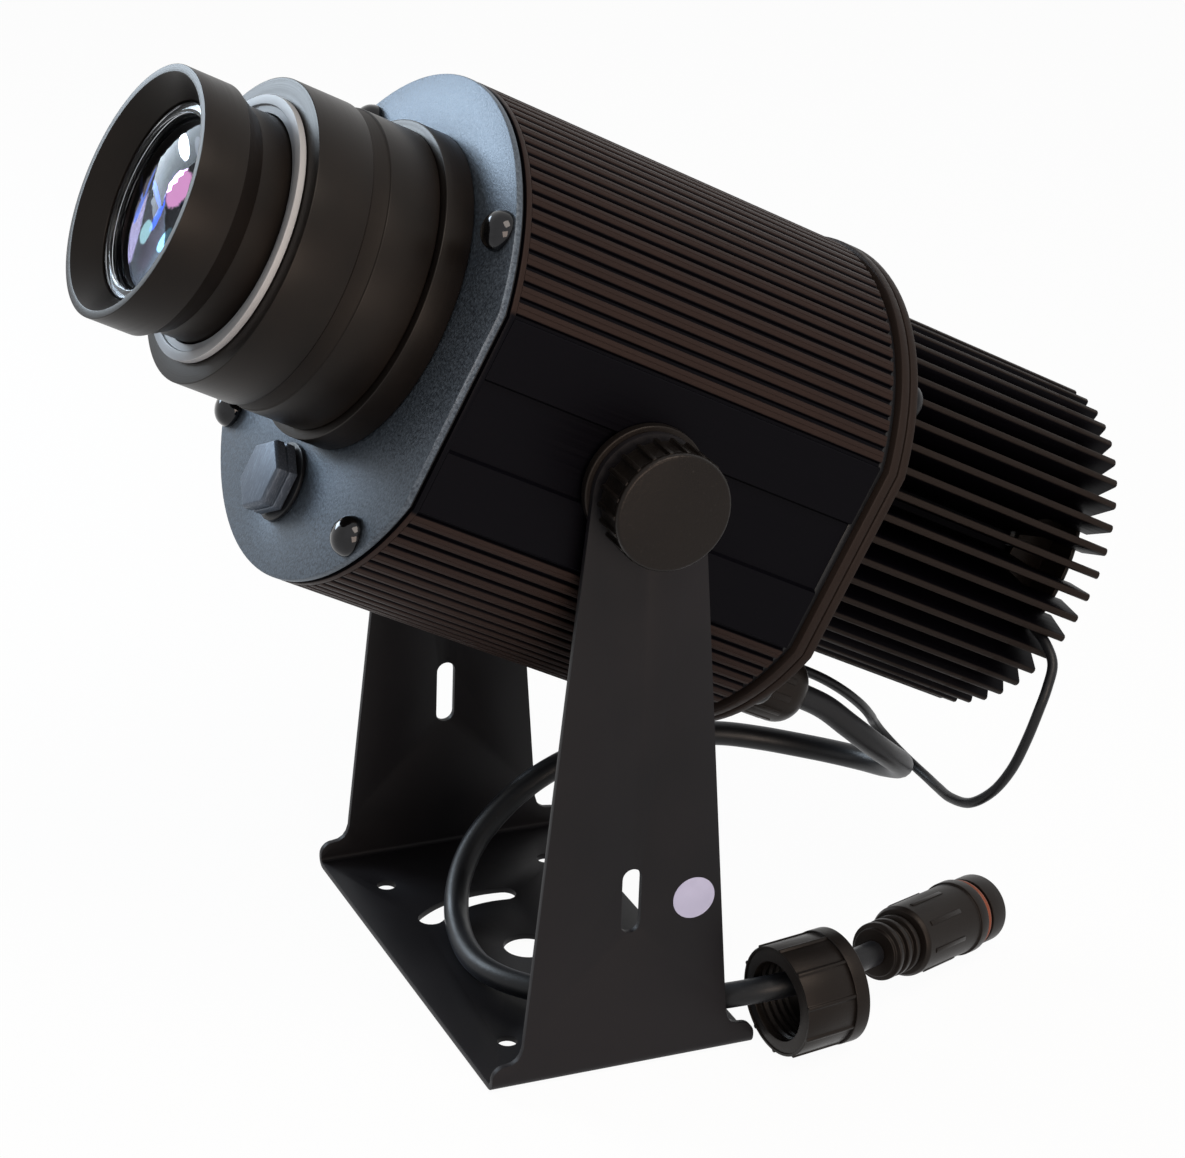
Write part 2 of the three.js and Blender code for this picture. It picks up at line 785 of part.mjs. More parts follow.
function housing() {
  const ends = [housingRear - cutOverrun, housingFront + cutOverrun];
  const ribbed = prism(housingShape(true), housingRear, housingFront);
  const land = prism(housingShape(false), housingFront - ribLandLength, housingFront);
  const span = housingFlat + cutOverrun;
  const pivotHole = alongX(rod(studRadius + boltClearance, -span, span, smallSides));
  const shell = cut(join(ribbed, land), roomInside(...ends), coverScrewHoles(...ends), pivotHole);
  return mesh('housing', shell, 'anodised');
}

// A flat frame that follows the end of the housing.
function endRing(name, radius, flat, from, to, finish) {
  const past = [from - cutOverrun, to + cutOverrun];
  const blank = prism(bodyShape(radius, flat), from, to, coverArcSteps);
  return mesh(name, cut(blank, roomInside(...past), coverScrewHoles(...past)), finish);
}

function frontPlate() {
  const plate = bodyShape(housingRadius, housingFlat);
  plate.holes.push(roundHole(0, opticalRise, flangeOpeningRadius, largeSides));
  plate.holes.push(roundHole(0, -plugDrop, plugThreadRadius + boltClearance, smallSides));
  lobePlaces().forEach(([x, y]) => plate.holes.push(roundHole(x, y, holeRadius, screwSides)));
  return mesh('front_plate', prism(plate, frontPlateBack, frontPlateFace, coverArcSteps), 'plateBlack');
}

function rearPlate() {
  const past = [rearPlateBack - cutOverrun, rearPlateFace + cutOverrun];
  const outline = bodyShape(housingRadius + rearCoverOverhang, housingFlat + rearCoverOverhang);
  const plate = prism(outline, rearPlateBack, rearPlateFace, coverArcSteps);
  const engineHole = rod(smallHoleRadius, ...past, screwSides);
  const holes = [
    at(rod(spigotRadius + seatGap + seatGap, ...past, innerSides), 0, opticalRise),
    at(rod(glandThreadRadius + boltClearance, ...past, smallSides), glandAcross, -glandDrop),
    at(rod(grommetNeckRadius + boltClearance, ...past, screwSides), grommetAcross, -grommetDrop),
    ...engineScrewPlaces().map(([x, y]) => at(engineHole, x, y + opticalRise)),
    ...coverScrewHoles(...past),
  ];
  return mesh('rear_plate', cut(plate, holes), 'anodised');
}

// A dome-head screw with its head's underside at Z = 0.
function coverScrew() {
  const rim = coverScrewHeadRadius;
  const neck = rim - coverScrewRimHeight / 2;
  const outline = [
    [0, -coverScrewLength],
    [coverScrewRadius, -coverScrewLength],
    [coverScrewRadius, 0],
    [rim, 0],
    [rim, coverScrewRimHeight],
    ...domeOutline(neck, coverScrewRimHeight, coverScrewHeadHeight - coverScrewRimHeight),
  ];
  return turned(outline, screwSides);
}

function coverScrews() {
  const screws = lobePlaces().flatMap(([x, y], i) => {
    const front = mesh(`front_screw_${i + 1}`, coverScrew(), 'blackSteel');
    const rear = mesh(`rear_screw_${i + 1}`, coverScrew(), 'blackSteel');
    rear.rotation.y = Math.PI;
    return [placed(front, x, y, frontPlateFace + seatGap), placed(rear, x, y, rearPlateBack - seatGap)];
  });
  return screws;
}

function hexRadius(acrossFlats) {
  return acrossFlats / 2 / Math.cos(Math.PI / hexSides);
}

// A six-sided body about Z with two of its flats facing along X.
function hexTurned(outline) {
  return turned(outline, hexSides);
}

function hexPlug() {
  const corner = hexRadius(plugAcrossFlats);
  const seat = frontPlateFace + seatGap + plugSealThickness + seatGap;
  const lowTop = seat + plugLowBand;
  const topStart = lowTop + plugGroove;
  const face = topStart + plugTopBand;
  const waist = corner - plugChamfer;
  const head = hexTurned([
    [0, seat],
    [corner, seat],
    [corner, lowTop],
    [waist, lowTop],
    [waist, topStart],
    [corner, topStart],
    [corner, face - plugChamfer],
    [waist, face],
    [0, face],
  ]);
  const thread = rod(plugThreadRadius, frontPlateBack - plugThreadLength, seat + plugGroove, smallSides);
  return placed(mesh('hex_plug', join(head, thread), 'blackPlastic'), 0, -plugDrop);
}

function plugSeal() {
  const from = frontPlateFace + seatGap;
  const seal = ring(plugThreadRadius + seatGap, plugSealRadius, from, from + plugSealThickness, mediumSides);
  return placed(mesh('plug_seal', seal, 'blackRubber'), 0, -plugDrop);
}

// Lens tube and focus barrel, about the optical axis

function lensFlange() {
  const bore = barrelWayRadius + seatGap;
  const spigot = flangeOpeningRadius - seatGap;
  const seat = tubeSpigotRadius + seatGap;
  const outline = [
    [bore, flangeBack - flangeSpigotLength],
    [spigot, flangeBack - flangeSpigotLength],
    [spigot, flangeBack],
    [flangeRadius, flangeBack],
    [flangeRadius, flangeFace],
    [seat, flangeFace],
    [seat, flangeFace - flangeSeatDepth],
    [bore, flangeFace - flangeSeatDepth],
  ];
  return mesh('lens_flange', turned(outline, largeSides), 'machined');
}

function lensTube() {
  const spigotBack = flangeFace - flangeSeatDepth + seatGap;
  const bandStart = tubeBack + tubeBandStart;
  const bandEnd = bandStart + tubeBandLength;
  const outline = [
    [barrelWayRadius, spigotBack],
    [tubeSpigotRadius, spigotBack],
    [tubeSpigotRadius, tubeBack],
    [tubeRadius, tubeBack],
    [tubeRadius, bandStart],
    [tubeRadius - tubeBandDepth, bandStart],
    [tubeRadius - tubeBandDepth, bandEnd],
    [tubeRadius, bandEnd],
    [tubeRadius, tubeFace],
    [barrelWayRadius, tubeFace],
  ];
  return mesh('lens_tube', turned(outline, largeSides), 'machined');
}

function lockRing() {
  const outline = [
    [barrelWayRadius, lockRingBack],
    [lockRingRadius, lockRingBack],
    [lockRingRadius, lockRingFace],
    [lockRingStepRadius, lockRingFace],
    [lockRingStepRadius, lockRingFace - lockRingStepDepth],
    [barrelWayRadius, lockRingFace - lockRingStepDepth],
  ];
  return mesh('lock_ring', turned(outline, largeSides), 'machined');
}

function focusBarrel() {
  const mouthBack = hoodFace - hoodMouthDepth;
  const outline = [
    [barrelStopRadius, barrelBack],
    [barrelRadius, barrelBack],
    [barrelRadius, coneBack],
    [hoodRadius, hoodBack],
    [hoodRadius, hoodFace],
    [hoodMouthRadius, hoodFace],
    [lensSeatRadius + seatGap, mouthBack],
    [lensSeatRadius, hoodBack],
    [barrelBore, hoodBack],
    [barrelBore, lensStop],
    [barrelStopRadius, lensStop],
  ];
  return mesh('focus_barrel', turned(outline, largeSides), 'machined');
}

function rearLens() {
  const back = lensStop + seatGap;
  const face = back + rearLensEdge;
  const radius = barrelBore - seatGap;
  const dome = lensFace(rearLensDomeRadius, face, rearLensBulge);
  const outline = [[0, back], [radius, back], [radius, face], ...dome];
  return mesh('rear_lens', turned(outline, mediumSides), 'glass');
}

function lensSpacer() {
  const back = lensStop + seatGap + rearLensEdge + seatGap;
  const radius = barrelBore - seatGap;
  return mesh('lens_spacer', ring(radius - spacerWall, radius, back, hoodBack, mediumSides), 'machined');
}

function frontLens() {
  const back = hoodBack + seatGap;
  const face = back + frontLensEdge;
  const radius = lensSeatRadius - seatGap;
  const rim = radius - retainingRingWall - seatGap;
  const outline = [[0, back], [radius, back], [radius, face], ...lensFace(rim, face, frontLensBulge)];
  return mesh('front_lens', turned(outline, mediumSides), 'glass');
}

function lensRetainingRing() {
  const back = hoodBack + seatGap + frontLensEdge + seatGap;
  const radius = lensSeatRadius - seatGap;
  const clear = ring(radius - retainingRingWall, radius, back, back + retainingRingLength, mediumSides);
  return mesh('lens_retaining_ring', clear, 'clearPlastic');
}

// Light engine, about the optical axis

function engineScrewPlaces() {
  const reach = fanHoleSpacing / 2;
  return [[reach, reach], [-reach, -reach]];
}

function condenserBarrel() {
  const flangeFaceAt = condenserBack + condenserFlangeThickness;
  const outside = condenserBore + condenserWall;
  const front = condenserBack + condenserLength;
  const outline = [
    [condenserBore, condenserBack],
    [condenserFlangeRadius, condenserBack],
    [condenserFlangeRadius, flangeFaceAt],
    [outside, flangeFaceAt],
    [outside, front],
    [condenserBore, front],
    [condenserBore, condenserStop],
    [condenserStopRadius, condenserStop],
    [condenserStopRadius, condenserStop - condenserStopLength],
    [condenserBore, condenserStop - condenserStopLength],
  ];
  const hole = rod(smallHoleRadius, condenserBack - cutOverrun, flangeFaceAt + cutOverrun, screwSides);
  const holes = engineScrewPlaces().map(([x, y]) => at(hole, x, y));
  return mesh('condenser_barrel', cut(turned(outline, innerSides), holes), 'aluminium');
}

function condenserParts() {
  const radius = condenserBore - seatGap;
  const rearBack = condenserStop + seatGap;
  const rearFace = rearBack + condenserLensEdge;
  const spacerBack = rearFace + seatGap;
  const frontBack = spacerBack + condenserSpacerLength + seatGap;
  const frontFace = frontBack + condenserLensEdge;
  const rim = radius - condenserWall;
  const rear = [
    [0, rearBack],
    [radius, rearBack],
    [radius, rearFace],
    ...lensFace(rim, rearFace, condenserLensBulge),
  ];
  const front = [
    ...lensFace(rim, frontBack, -condenserLensBulge).reverse(),
    [radius, frontBack],
    [radius, frontFace],
    [0, frontFace],
  ];
  const spacer = ring(rim, radius, spacerBack, spacerBack + condenserSpacerLength, innerSides);
  return [
    mesh('condenser_lens_rear', turned(rear, innerSides), 'glass'),
    mesh('condenser_spacer', spacer, 'aluminium'),
    mesh('condenser_lens_front', turned(front, innerSides), 'glass'),
    ...goboParts(frontFace + seatGap),
  ];
}

// The holder grips the patterned disc between a shoulder and a lip.
function goboParts(holderBack) {
  const radius = condenserBore - seatGap;
  const holderFace = holderBack + goboHolderLength;
  const pocketFace = holderFace - goboLip - goboLip;
  const pocketBack = pocketFace - goboThickness - seatGap - seatGap;
  const pocket = goboRadius + seatGap;
  const holder = [
    [goboHolderBore, holderBack],
    [radius, holderBack],
    [radius, holderFace],
    [goboRadius - goboLip, holderFace],
    [goboRadius - goboLip, pocketFace],
    [pocket, pocketFace],
    [pocket, pocketBack],
    [goboHolderBore, pocketBack],
  ];
  const discBack = pocketBack + seatGap;
  const disc = new THREE.Shape(roundCorners(0, 0, goboRadius, innerSides));
  disc.holes.push(roundHole(0, 0, goboCentreHole, screwSides));
  for (let i = 0; i < goboHoles; i += 1) {
    const angle = (i / goboHoles) * Math.PI * 2;
    const [x, y] = [goboHoleCircle * Math.cos(angle), goboHoleCircle * Math.sin(angle)];
    disc.holes.push(roundHole(x, y, goboHoleRadius, hexSides));
  }
  return [
    mesh('gobo_holder', turned(holder, innerSides), 'aluminium'),
    mesh('gobo_disc', prism(disc, discBack, discBack + goboThickness), 'blackSteel'),
  ];
}

function ledParts() {
  const boardFace = boardBack + boardThickness;
  const emitterBack = boardFace + seatGap;
  const emitter = rod(emitterRadius, emitterBack, emitterBack + emitterThickness, smallSides);
  return [
    mesh('led_board', rod(boardRadius, boardBack, boardFace, smallSides), 'whiteBoard'),
    mesh('led_emitter', emitter, 'phosphor'),
  ];
}

// A small pan-head screw with its head's underside at Z = 0.
function smallScrew(length) {
  const edge = smallScrewHeadHeight / 3;
  const outline = [
    [0, -length],
    [smallScrewRadius, -length],
    [smallScrewRadius, 0],
    [smallScrewHeadRadius, 0],
    [smallScrewHeadRadius, smallScrewHeadHeight - edge],
    [smallScrewHeadRadius - edge, smallScrewHeadHeight],
    [0, smallScrewHeadHeight],
  ];
  return turned(outline, hexSides);
}

function engineScrews() {
  const seat = condenserBack + condenserFlangeThickness + seatGap;
  const length = seat - sinkFace + engineScrewBite;
  return engineScrewPlaces().map(([x, y], i) => {
    const screw = mesh(`engine_screw_${i + 1}`, smallScrew(length), 'brightSteel');
    return placed(screw, x, y, seat);
  });
}

// The driver box lies on the housing's inner wall, below the light engine.
function ledDriver() {
  const inner = housingRadius - housingWall;
  const sweep = Math.PI - 2 * Math.acos((housingFlat - housingFlatWall) / inner);
  const facetRadius = inner * Math.cos(sweep / (roomArcSteps * 4));
  const under = -Math.sqrt(facetRadius ** 2 - (driverWidth / 2) ** 2) + seatGap;
  const front = housingFront - driverBack;
  const box = new THREE.BoxGeometry(driverWidth, driverHeight, driverLength);
  const body = mesh('led_driver', closed(box), 'aluminium');
  return placed(body, 0, under + driverHeight / 2, front - driverLength / 2);
}

// Heat sink, about the optical axis: a core with long fins that taper slightly to round tips

function finShape() {
  const pitch = (Math.PI * 2) / fins;
  const shoulder = sinkRadius - finTipRound;
  const shape = [];
  for (let i = 0; i < fins; i += 1) {
    const angle = radians(firstFinDegrees) + i * pitch;
    const along = new THREE.Vector2(Math.cos(angle), Math.sin(angle));
    const across = new THREE.Vector2(-along.y, along.x);
    const point = (out, aside) => along.clone().multiplyScalar(out).addScaledVector(across, aside);
    shape.push(point(coreRadius, -finRootWidth / 2));
    shape.push(point(shoulder, -finTipWidth / 2));
    shape.push(point(sinkRadius, -finTipWidth / 4));
    shape.push(point(sinkRadius, finTipWidth / 4));
    shape.push(point(shoulder, finTipWidth / 2));
    shape.push(point(coreRadius, finRootWidth / 2));
  }
  return new THREE.Shape(shape);
}

function fanScrewPlaces() {
  const reach = fanHoleSpacing / 2;
  return [[reach, reach], [-reach, reach], [-reach, -reach], [reach, -reach]];
}

function heatSink() {
  const finned = prism(finShape(), sinkBack, sinkFace);
  const spigot = rod(spigotRadius, sinkFace - cutOverrun, sinkFace + spigotLength, innerSides);
  const lobe = rod(sinkLobeRadius, sinkBack, sinkFace, screwSides);
  const lobes = fanScrewPlaces().map(([x, y]) => at(lobe, x, y));
  const pocket = rod(pocketRadius, sinkBack - cutOverrun, pocketFloor, largeSides);
  const hole = rod(smallHoleRadius, sinkBack - cutOverrun, sinkFace + cutOverrun, screwSides);
  const holes = fanScrewPlaces().map(([x, y]) => at(hole, x, y));
  return mesh('heat_sink', cut(join(finned, spigot, lobes), pocket, holes), 'anodised');
}

function fanFrame() {
  const half = fanSize / 2;
  const straight = half - fanCornerRadius;
  const outline = new THREE.Shape();
  outline.absarc(straight, straight, fanCornerRadius, 0, Math.PI / 2, false);
  outline.absarc(-straight, straight, fanCornerRadius, Math.PI / 2, Math.PI, false);
  outline.absarc(-straight, -straight, fanCornerRadius, Math.PI, Math.PI * 1.5, false);
  outline.absarc(straight, -straight, fanCornerRadius, Math.PI * 1.5, Math.PI * 2, false);
  outline.holes.push(roundHole(0, 0, fanDuctRadius, mediumSides));
  fanScrewPlaces().forEach(([x, y]) => outline.holes.push(roundHole(x, y, smallHoleRadius, screwSides)));
  const shell = prism(outline, fanBack, fanFace, domeSteps);
  const hubBack = fanFace - fanHubDepth;
  const hub = ring(fanShaftRadius + boltClearance, fanHubRadius, hubBack, fanFace, smallSides);
  const strutLength = fanDuctRadius - fanHubRadius + cutOverrun;
  const strut = new THREE.BoxGeometry(strutLength, fanStrutWidth, fanHubDepth);
  strut.translate((fanDuctRadius + fanHubRadius) / 2, 0, fanFace - fanHubDepth / 2);
  const struts = [];
  for (let i = 0; i < fanStruts; i += 1) {
    const turn = ((i + 1 / 2) / fanStruts) * Math.PI * 2;
    struts.push(strut.clone().rotateZ(turn));
  }
  return mesh('fan_frame', join(shell, hub, struts), 'blackPlastic');
}

// One blade: a thin cambered strip, pitched about the line that it reaches out along.
function fanBlade(reach) {
  const half = bladeChord / 2;
  const strip = new THREE.Shape();
  strip.moveTo(-half, 0);
  strip.quadraticCurveTo(0, bladeCamber, half, 0);
  strip.lineTo(half, bladeThickness);
  strip.quadraticCurveTo(0, bladeCamber + bladeThickness, -half, bladeThickness);
  strip.lineTo(-half, 0);
  const blade = prism(strip, 0, reach, domeSteps);
  blade.rotateZ(radians(bladePitchDegrees));
  return alongX(blade);
}

function fanRotor() {
  const hubFace = fanFace - fanHubDepth - rotorRunningGap;
  const hubBack = fanBack + rotorRunningGap;
  const root = rotorHubRadius - cutOverrun;
  const tip = fanDuctRadius - bladeTipClearance;
  const hub = rod(rotorHubRadius, hubBack, hubFace, smallSides);
  const shaft = rod(fanShaftRadius, hubBack + rotorRunningGap, fanFace - seatGap, screwSides);
  const shapes = [hub, shaft];
  for (let i = 0; i < blades; i += 1) {
    const blade = at(fanBlade(tip - root), root, 0, (hubFace + hubBack) / 2 - bladeThickness);
    blade.rotateZ((i / blades) * Math.PI * 2);
    shapes.push(blade);
  }
  return mesh('fan_rotor', join(shapes), 'blackPlastic');
}

function fanScrews() {
  const length = fanDepth + seatGap + seatGap + fanScrewBite;
  return fanScrewPlaces().map(([x, y], i) => {
    const screw = mesh(`fan_screw_${i + 1}`, smallScrew(length), 'blackSteel');
    screw.rotation.y = Math.PI;
    return placed(screw, x, y, fanBack - seatGap);
  });
}

// Gland and grommet, drawn backwards along Z from the rear plate

function cableGland() {
  const baseEnd = glandBaseLength;
  const capStart = baseEnd + glandNeckLength;
  const domeStart = capStart + glandCapLength;
  const end = domeStart + glandDomeLength;
  const base = hexTurned([
    [0, 0],
    [hexRadius(glandAcrossFlats), 0],
    [hexRadius(glandAcrossFlats), baseEnd],
    [0, baseEnd],
  ]);
  const dome = [];
  for (let i = 0; i <= domeSteps; i += 1) {
    const angle = (i / domeSteps) * (Math.PI / 2);
    const radius = glandMouthRadius + (glandCapRadius - glandMouthRadius) * Math.cos(angle);
    dome.push([radius, domeStart + glandDomeLength * Math.sin(angle)]);
  }
  const cap = turned([
    [0, -glandThreadLength],
    [glandThreadRadius, -glandThreadLength],
    [glandThreadRadius, baseEnd / 2],
    [glandNeckRadius, baseEnd / 2],
    [glandNeckRadius, capStart],
    [glandCapRadius, capStart],
    ...dome,
    [0, end],
  ], smallSides);
  const body = mesh('cable_gland', join(base, cap), 'blackPlastic');
  body.rotation.y = Math.PI;
  return placed(body, glandAcross, -glandDrop, rearPlateBack - seatGap);
}

function glandNut() {
  const from = rearPlateFace + seatGap;
  const to = from + glandNutLength;
  const corner = hexRadius(glandNutAcrossFlats);
  const blank = hexTurned([[0, from], [corner, from], [corner, to], [0, to]]);
  const bore = rod(glandThreadRadius + boltClearance, from - cutOverrun, to + cutOverrun, smallSides);
  return placed(mesh('gland_nut', cut(blank, bore), 'blackPlastic'), glandAcross, -glandDrop);
}

function leadGrommet() {
  const back = rearPlateBack - seatGap;
  const outline = [
    [0, back - grommetThickness],
    [grommetRadius, back - grommetThickness],
    [grommetRadius, back],
    [grommetNeckRadius, back],
    [grommetNeckRadius, back + grommetNeckLength],
    [0, back + grommetNeckLength],
  ];
  const body = mesh('lead_grommet', turned(outline, screwSides), 'blackRubber');
  return placed(body, grommetAcross, -grommetDrop);
}

// Cords and what lies on them

function cordTube(route, diameter, steps) {
  const points = route.map((point) => new THREE.Vector3(...point));
  const path = new THREE.CatmullRomCurve3(points, false, 'centripetal');
  const section = new THREE.Shape(roundCorners(0, 0, diameter / 2, cordSides));
  return closed(new THREE.ExtrudeGeometry(section, { steps, extrudePath: path, bevelEnabled: false }));
}

// The coupling nut: open and threaded at Z = 0, with a flange and an inner wall at its other end.
function couplingNut() {
  const flangeStart = nutLength - nutFlangeLength;
  const points = [];
  const step = (Math.PI * 2) / nutRibs;
  const ribRadius = nutRadius + nutRibHeight;
  for (let i = 0; i < nutRibs; i += 1) {
    points.push([nutRadius, (i - 1 / 4) * step]);
    points.push([ribRadius, (i - 1 / 6) * step]);
    points.push([ribRadius, (i + 1 / 6) * step]);
    points.push([nutRadius, (i + 1 / 4) * step]);
  }
  const corners = points.map(([r, angle]) => new THREE.Vector2(r * Math.cos(angle), r * Math.sin(angle)));
  const ribbed = prism(new THREE.Shape(corners), 0, flangeStart + nutRibHeight);
  const flange = turned([
    [0, flangeStart],
    [nutFlangeRadius, flangeStart],
    [nutFlangeRadius, nutLength - nutRibHeight],
    [nutFlangeRadius - nutRibHeight, nutLength],
    [0, nutLength],
  ], mediumSides);
  const threadDepth = nutLength - nutBackWall - nutFlangeLength;
  const threadPitch = threadDepth / nutThreads;
  const bore = [[0, -cutOverrun], [nutBoreRadius, -cutOverrun]];
  for (let i = 0; i < nutThreads; i += 1) {
    bore.push([nutBoreRadius, (i + 1 / 4) * threadPitch]);
    bore.push([nutThreadRadius, (i + 1 / 2) * threadPitch]);
    bore.push([nutBoreRadius, (i + 3 / 4) * threadPitch]);
  }
  bore.push([nutBoreRadius, nutLength - nutBackWall]);
  bore.push([nutBackHoleRadius, nutLength - nutBackWall]);
  bore.push([nutBackHoleRadius, nutLength + cutOverrun]);
  bore.push([0, nutLength + cutOverrun]);
  return cut(join(ribbed, flange), turned(bore, smallSides));
}

// The waterproof plug: cable end at Z = 0, socket at the other end.
function plugBody() {
  const outline = [[0, 0], [plugTailRadius, 0]];
  const ringStep = plugTailLength / plugRings;
  for (let i = 0; i < plugRings; i += 1) {
    outline.push([plugTailRadius, (i + 1 / 4) * ringStep]);
    outline.push([plugRingRadius, (i + 1 / 4) * ringStep]);
    outline.push([plugRingRadius, (i + 3 / 4) * ringStep]);
    outline.push([plugTailRadius, (i + 3 / 4) * ringStep]);
  }
  const bodyEnd = plugTailLength + plugBodyLength;
  const flangeEnd = bodyEnd + plugFlangeLength;
  const noseStart = flangeEnd + plugGrooveLength;
  const end = noseStart + plugNoseLength;
  const edge = plugRingSection / 2;
  outline.push(
    [plugTailRadius, plugTailLength],
    [plugBodyRadius - edge, plugTailLength],
    [plugBodyRadius, plugTailLength + edge],
    [plugBodyRadius, bodyEnd],
    [plugFlangeRadius, bodyEnd],
    [plugFlangeRadius, flangeEnd],
    [plugGrooveRadius, flangeEnd],
    [plugGrooveRadius, noseStart],
    [plugNoseRadius, noseStart],
    [plugNoseRadius, end - edge],
    [plugNoseRadius - edge, end],
    [plugSocketRadius, end],
    [plugSocketRadius, end - plugSocketDepth],
    [0, end - plugSocketDepth],
  );
  const shapes = [turned(outline, innerSides)];
  for (let i = 0; i < plugPins; i += 1) {
    const angle = (i / plugPins) * Math.PI * 2;
    const pin = rod(plugPinRadius, end - plugSocketDepth - edge, end - edge - edge, hexSides);
    shapes.push(at(pin, plugPinCircle * Math.cos(angle), plugPinCircle * Math.sin(angle)));
  }
  return join(shapes);
}

function plugRing() {
  const middle = plugTailLength + plugBodyLength + plugFlangeLength + plugGrooveLength / 2;
  const centre = plugGrooveRadius + seatGap + plugRingSection;
  const outline = [];
  for (let i = 0; i < hexSides; i += 1) {
    const angle = (i / hexSides) * Math.PI * 2;
    outline.push([centre + plugRingSection * Math.cos(angle), middle + plugRingSection * Math.sin(angle)]);
  }
  return turned(outline, innerSides);
}

// Points Z along a heading in the floor plane, drooping below it.
function aimed(group, headingDegrees, droopDegrees) {
  const heading = radians(headingDegrees);
  const droop = radians(droopDegrees);
  const direction = new THREE.Vector3(
    Math.cos(heading) * Math.cos(droop), Math.sin(heading) * Math.cos(droop), -Math.sin(droop),
  );
  group.quaternion.setFromUnitVectors(new THREE.Vector3(0, 0, 1), direction);
  return direction;
}

function cords() {
  const group = new THREE.Group();
  group.add(mesh('power_cable', cordTube(cableRoute, cableDiameter, cableSteps), 'blackRubber'));
  group.add(mesh('fan_lead', cordTube(leadRoute, leadDiameter, leadSteps), 'blackRubber'));

  const nut = new THREE.Group();
  const nutWay = aimed(nut, nutHeadingDegrees, 0);
  nut.position.set(...nutMiddle, nutFlangeRadius + floorGap);
  nut.position.addScaledVector(nutWay, -nutLength / 2);
  nut.add(mesh('connector_nut', couplingNut(), 'blackPlastic'));

  const plug = new THREE.Group();
  const plugWay = aimed(plug, plugHeadingDegrees, plugDroopDegrees);
  plug.position.set(...cableRoute[cableRoute.length - 1]);
  plug.position.addScaledVector(plugWay, seatGap);
  plug.add(mesh('connector_body', plugBody(), 'blackPlastic'));
  plug.add(mesh('connector_oring', plugRing(), 'orangeRubber'));
  group.add(nut, plug);
  return group;
}

// Assembly

function head() {
  const optics = new THREE.Group();
  optics.position.y = opticalRise;
  optics.add(
    lensFlange(), lensTube(), lockRing(), focusBarrel(),
    rearLens(), lensSpacer(), frontLens(), lensRetainingRing(),
    ...ledParts(), condenserBarrel(), ...condenserParts(), ...engineScrews(),
    heatSink(), fanFrame(), fanRotor(), ...fanScrews(),
  );
  const coverRadius = housingRadius + rearCoverOverhang;
  const coverFlat = housingFlat + rearCoverOverhang;
  const endFrameBack = endFrameFace - endFrameThickness;
  const gasketAt = (inset, from, to, name) => endRing(
    name, housingRadius - inset, housingFlat - inset, from, to, 'blackRubber',
  );
  const group = new THREE.Group();
  group.position.z = pivotHeight;
  group.rotation.x = Math.PI / 2 - radians(tiltDegrees);
  group.add(
    housing(),
    gasketAt(frontGasketInset, frontGasketBack, frontGasketBack + frontGasketThickness, 'front_gasket'),
    frontPlate(),
    gasketAt(rearGasketInset, rearGasketFace - rearGasketThickness, rearGasketFace, 'rear_gasket'),
    endRing('rear_end_frame', coverRadius, coverFlat, endFrameBack, endFrameFace, 'anodised'),
    rearPlate(),
    ...coverScrews(),
    hexPlug(), plugSeal(), ledDriver(), cableGland(), glandNut(), leadGrommet(),
    optics, pivotSide('near', 1), pivotSide('far', -1),
  );
  return group;
}

const standing = new THREE.Group();
standing.add(bracket(), roundSticker(), head());

const projector = new THREE.Group();
projector.add(standing, cords());
projector.updateMatrixWorld(true);

// The cords don't count in the box that the origin is taken from.
const box = new THREE.Box3().setFromObject(standing, true);
const middle = box.getCenter(new THREE.Vector3());
projector.position.set(-middle.x, -middle.y, -box.min.z);
projector.updateMatrixWorld(true);

export default projector;
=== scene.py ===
# %% [markdown]
# A gobo projector throws an image through its lens onto a wall. This one is a ribbed round housing with a
# focus barrel in front and a finned heat sink behind, held between the arms of a steel bracket. The sizes
# come from the CAD model, which is loaded first as a fixed frame. Nearly every piece is built in millimetres
# about its own axis, and a matrix then sets it into the frame, which is in metres.

# %% Load the frame
import math

import bmesh
import bpy
from mathutils import Matrix, Vector


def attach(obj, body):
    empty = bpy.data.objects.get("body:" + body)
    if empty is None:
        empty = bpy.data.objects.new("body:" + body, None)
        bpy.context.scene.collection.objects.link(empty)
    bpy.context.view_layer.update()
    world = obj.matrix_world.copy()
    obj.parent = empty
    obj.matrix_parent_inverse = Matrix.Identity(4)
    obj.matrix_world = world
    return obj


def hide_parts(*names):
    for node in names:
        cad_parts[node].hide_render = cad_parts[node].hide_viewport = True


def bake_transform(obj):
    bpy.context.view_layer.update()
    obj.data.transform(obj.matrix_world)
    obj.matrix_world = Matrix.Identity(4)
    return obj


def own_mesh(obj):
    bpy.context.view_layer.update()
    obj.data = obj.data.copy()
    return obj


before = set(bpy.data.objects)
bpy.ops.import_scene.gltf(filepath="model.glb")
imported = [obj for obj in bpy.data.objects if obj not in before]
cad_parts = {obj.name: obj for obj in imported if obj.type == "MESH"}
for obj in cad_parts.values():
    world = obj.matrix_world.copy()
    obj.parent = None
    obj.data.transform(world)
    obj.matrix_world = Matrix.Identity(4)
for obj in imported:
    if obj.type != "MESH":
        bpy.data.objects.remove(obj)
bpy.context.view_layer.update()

# %% [markdown]
# The camera stands where the photograph was taken from. Its axes are written out as the columns of a
# matrix: to the right, up, and backwards. A long lens keeps the lines of the housing nearly parallel, as
# seen there.

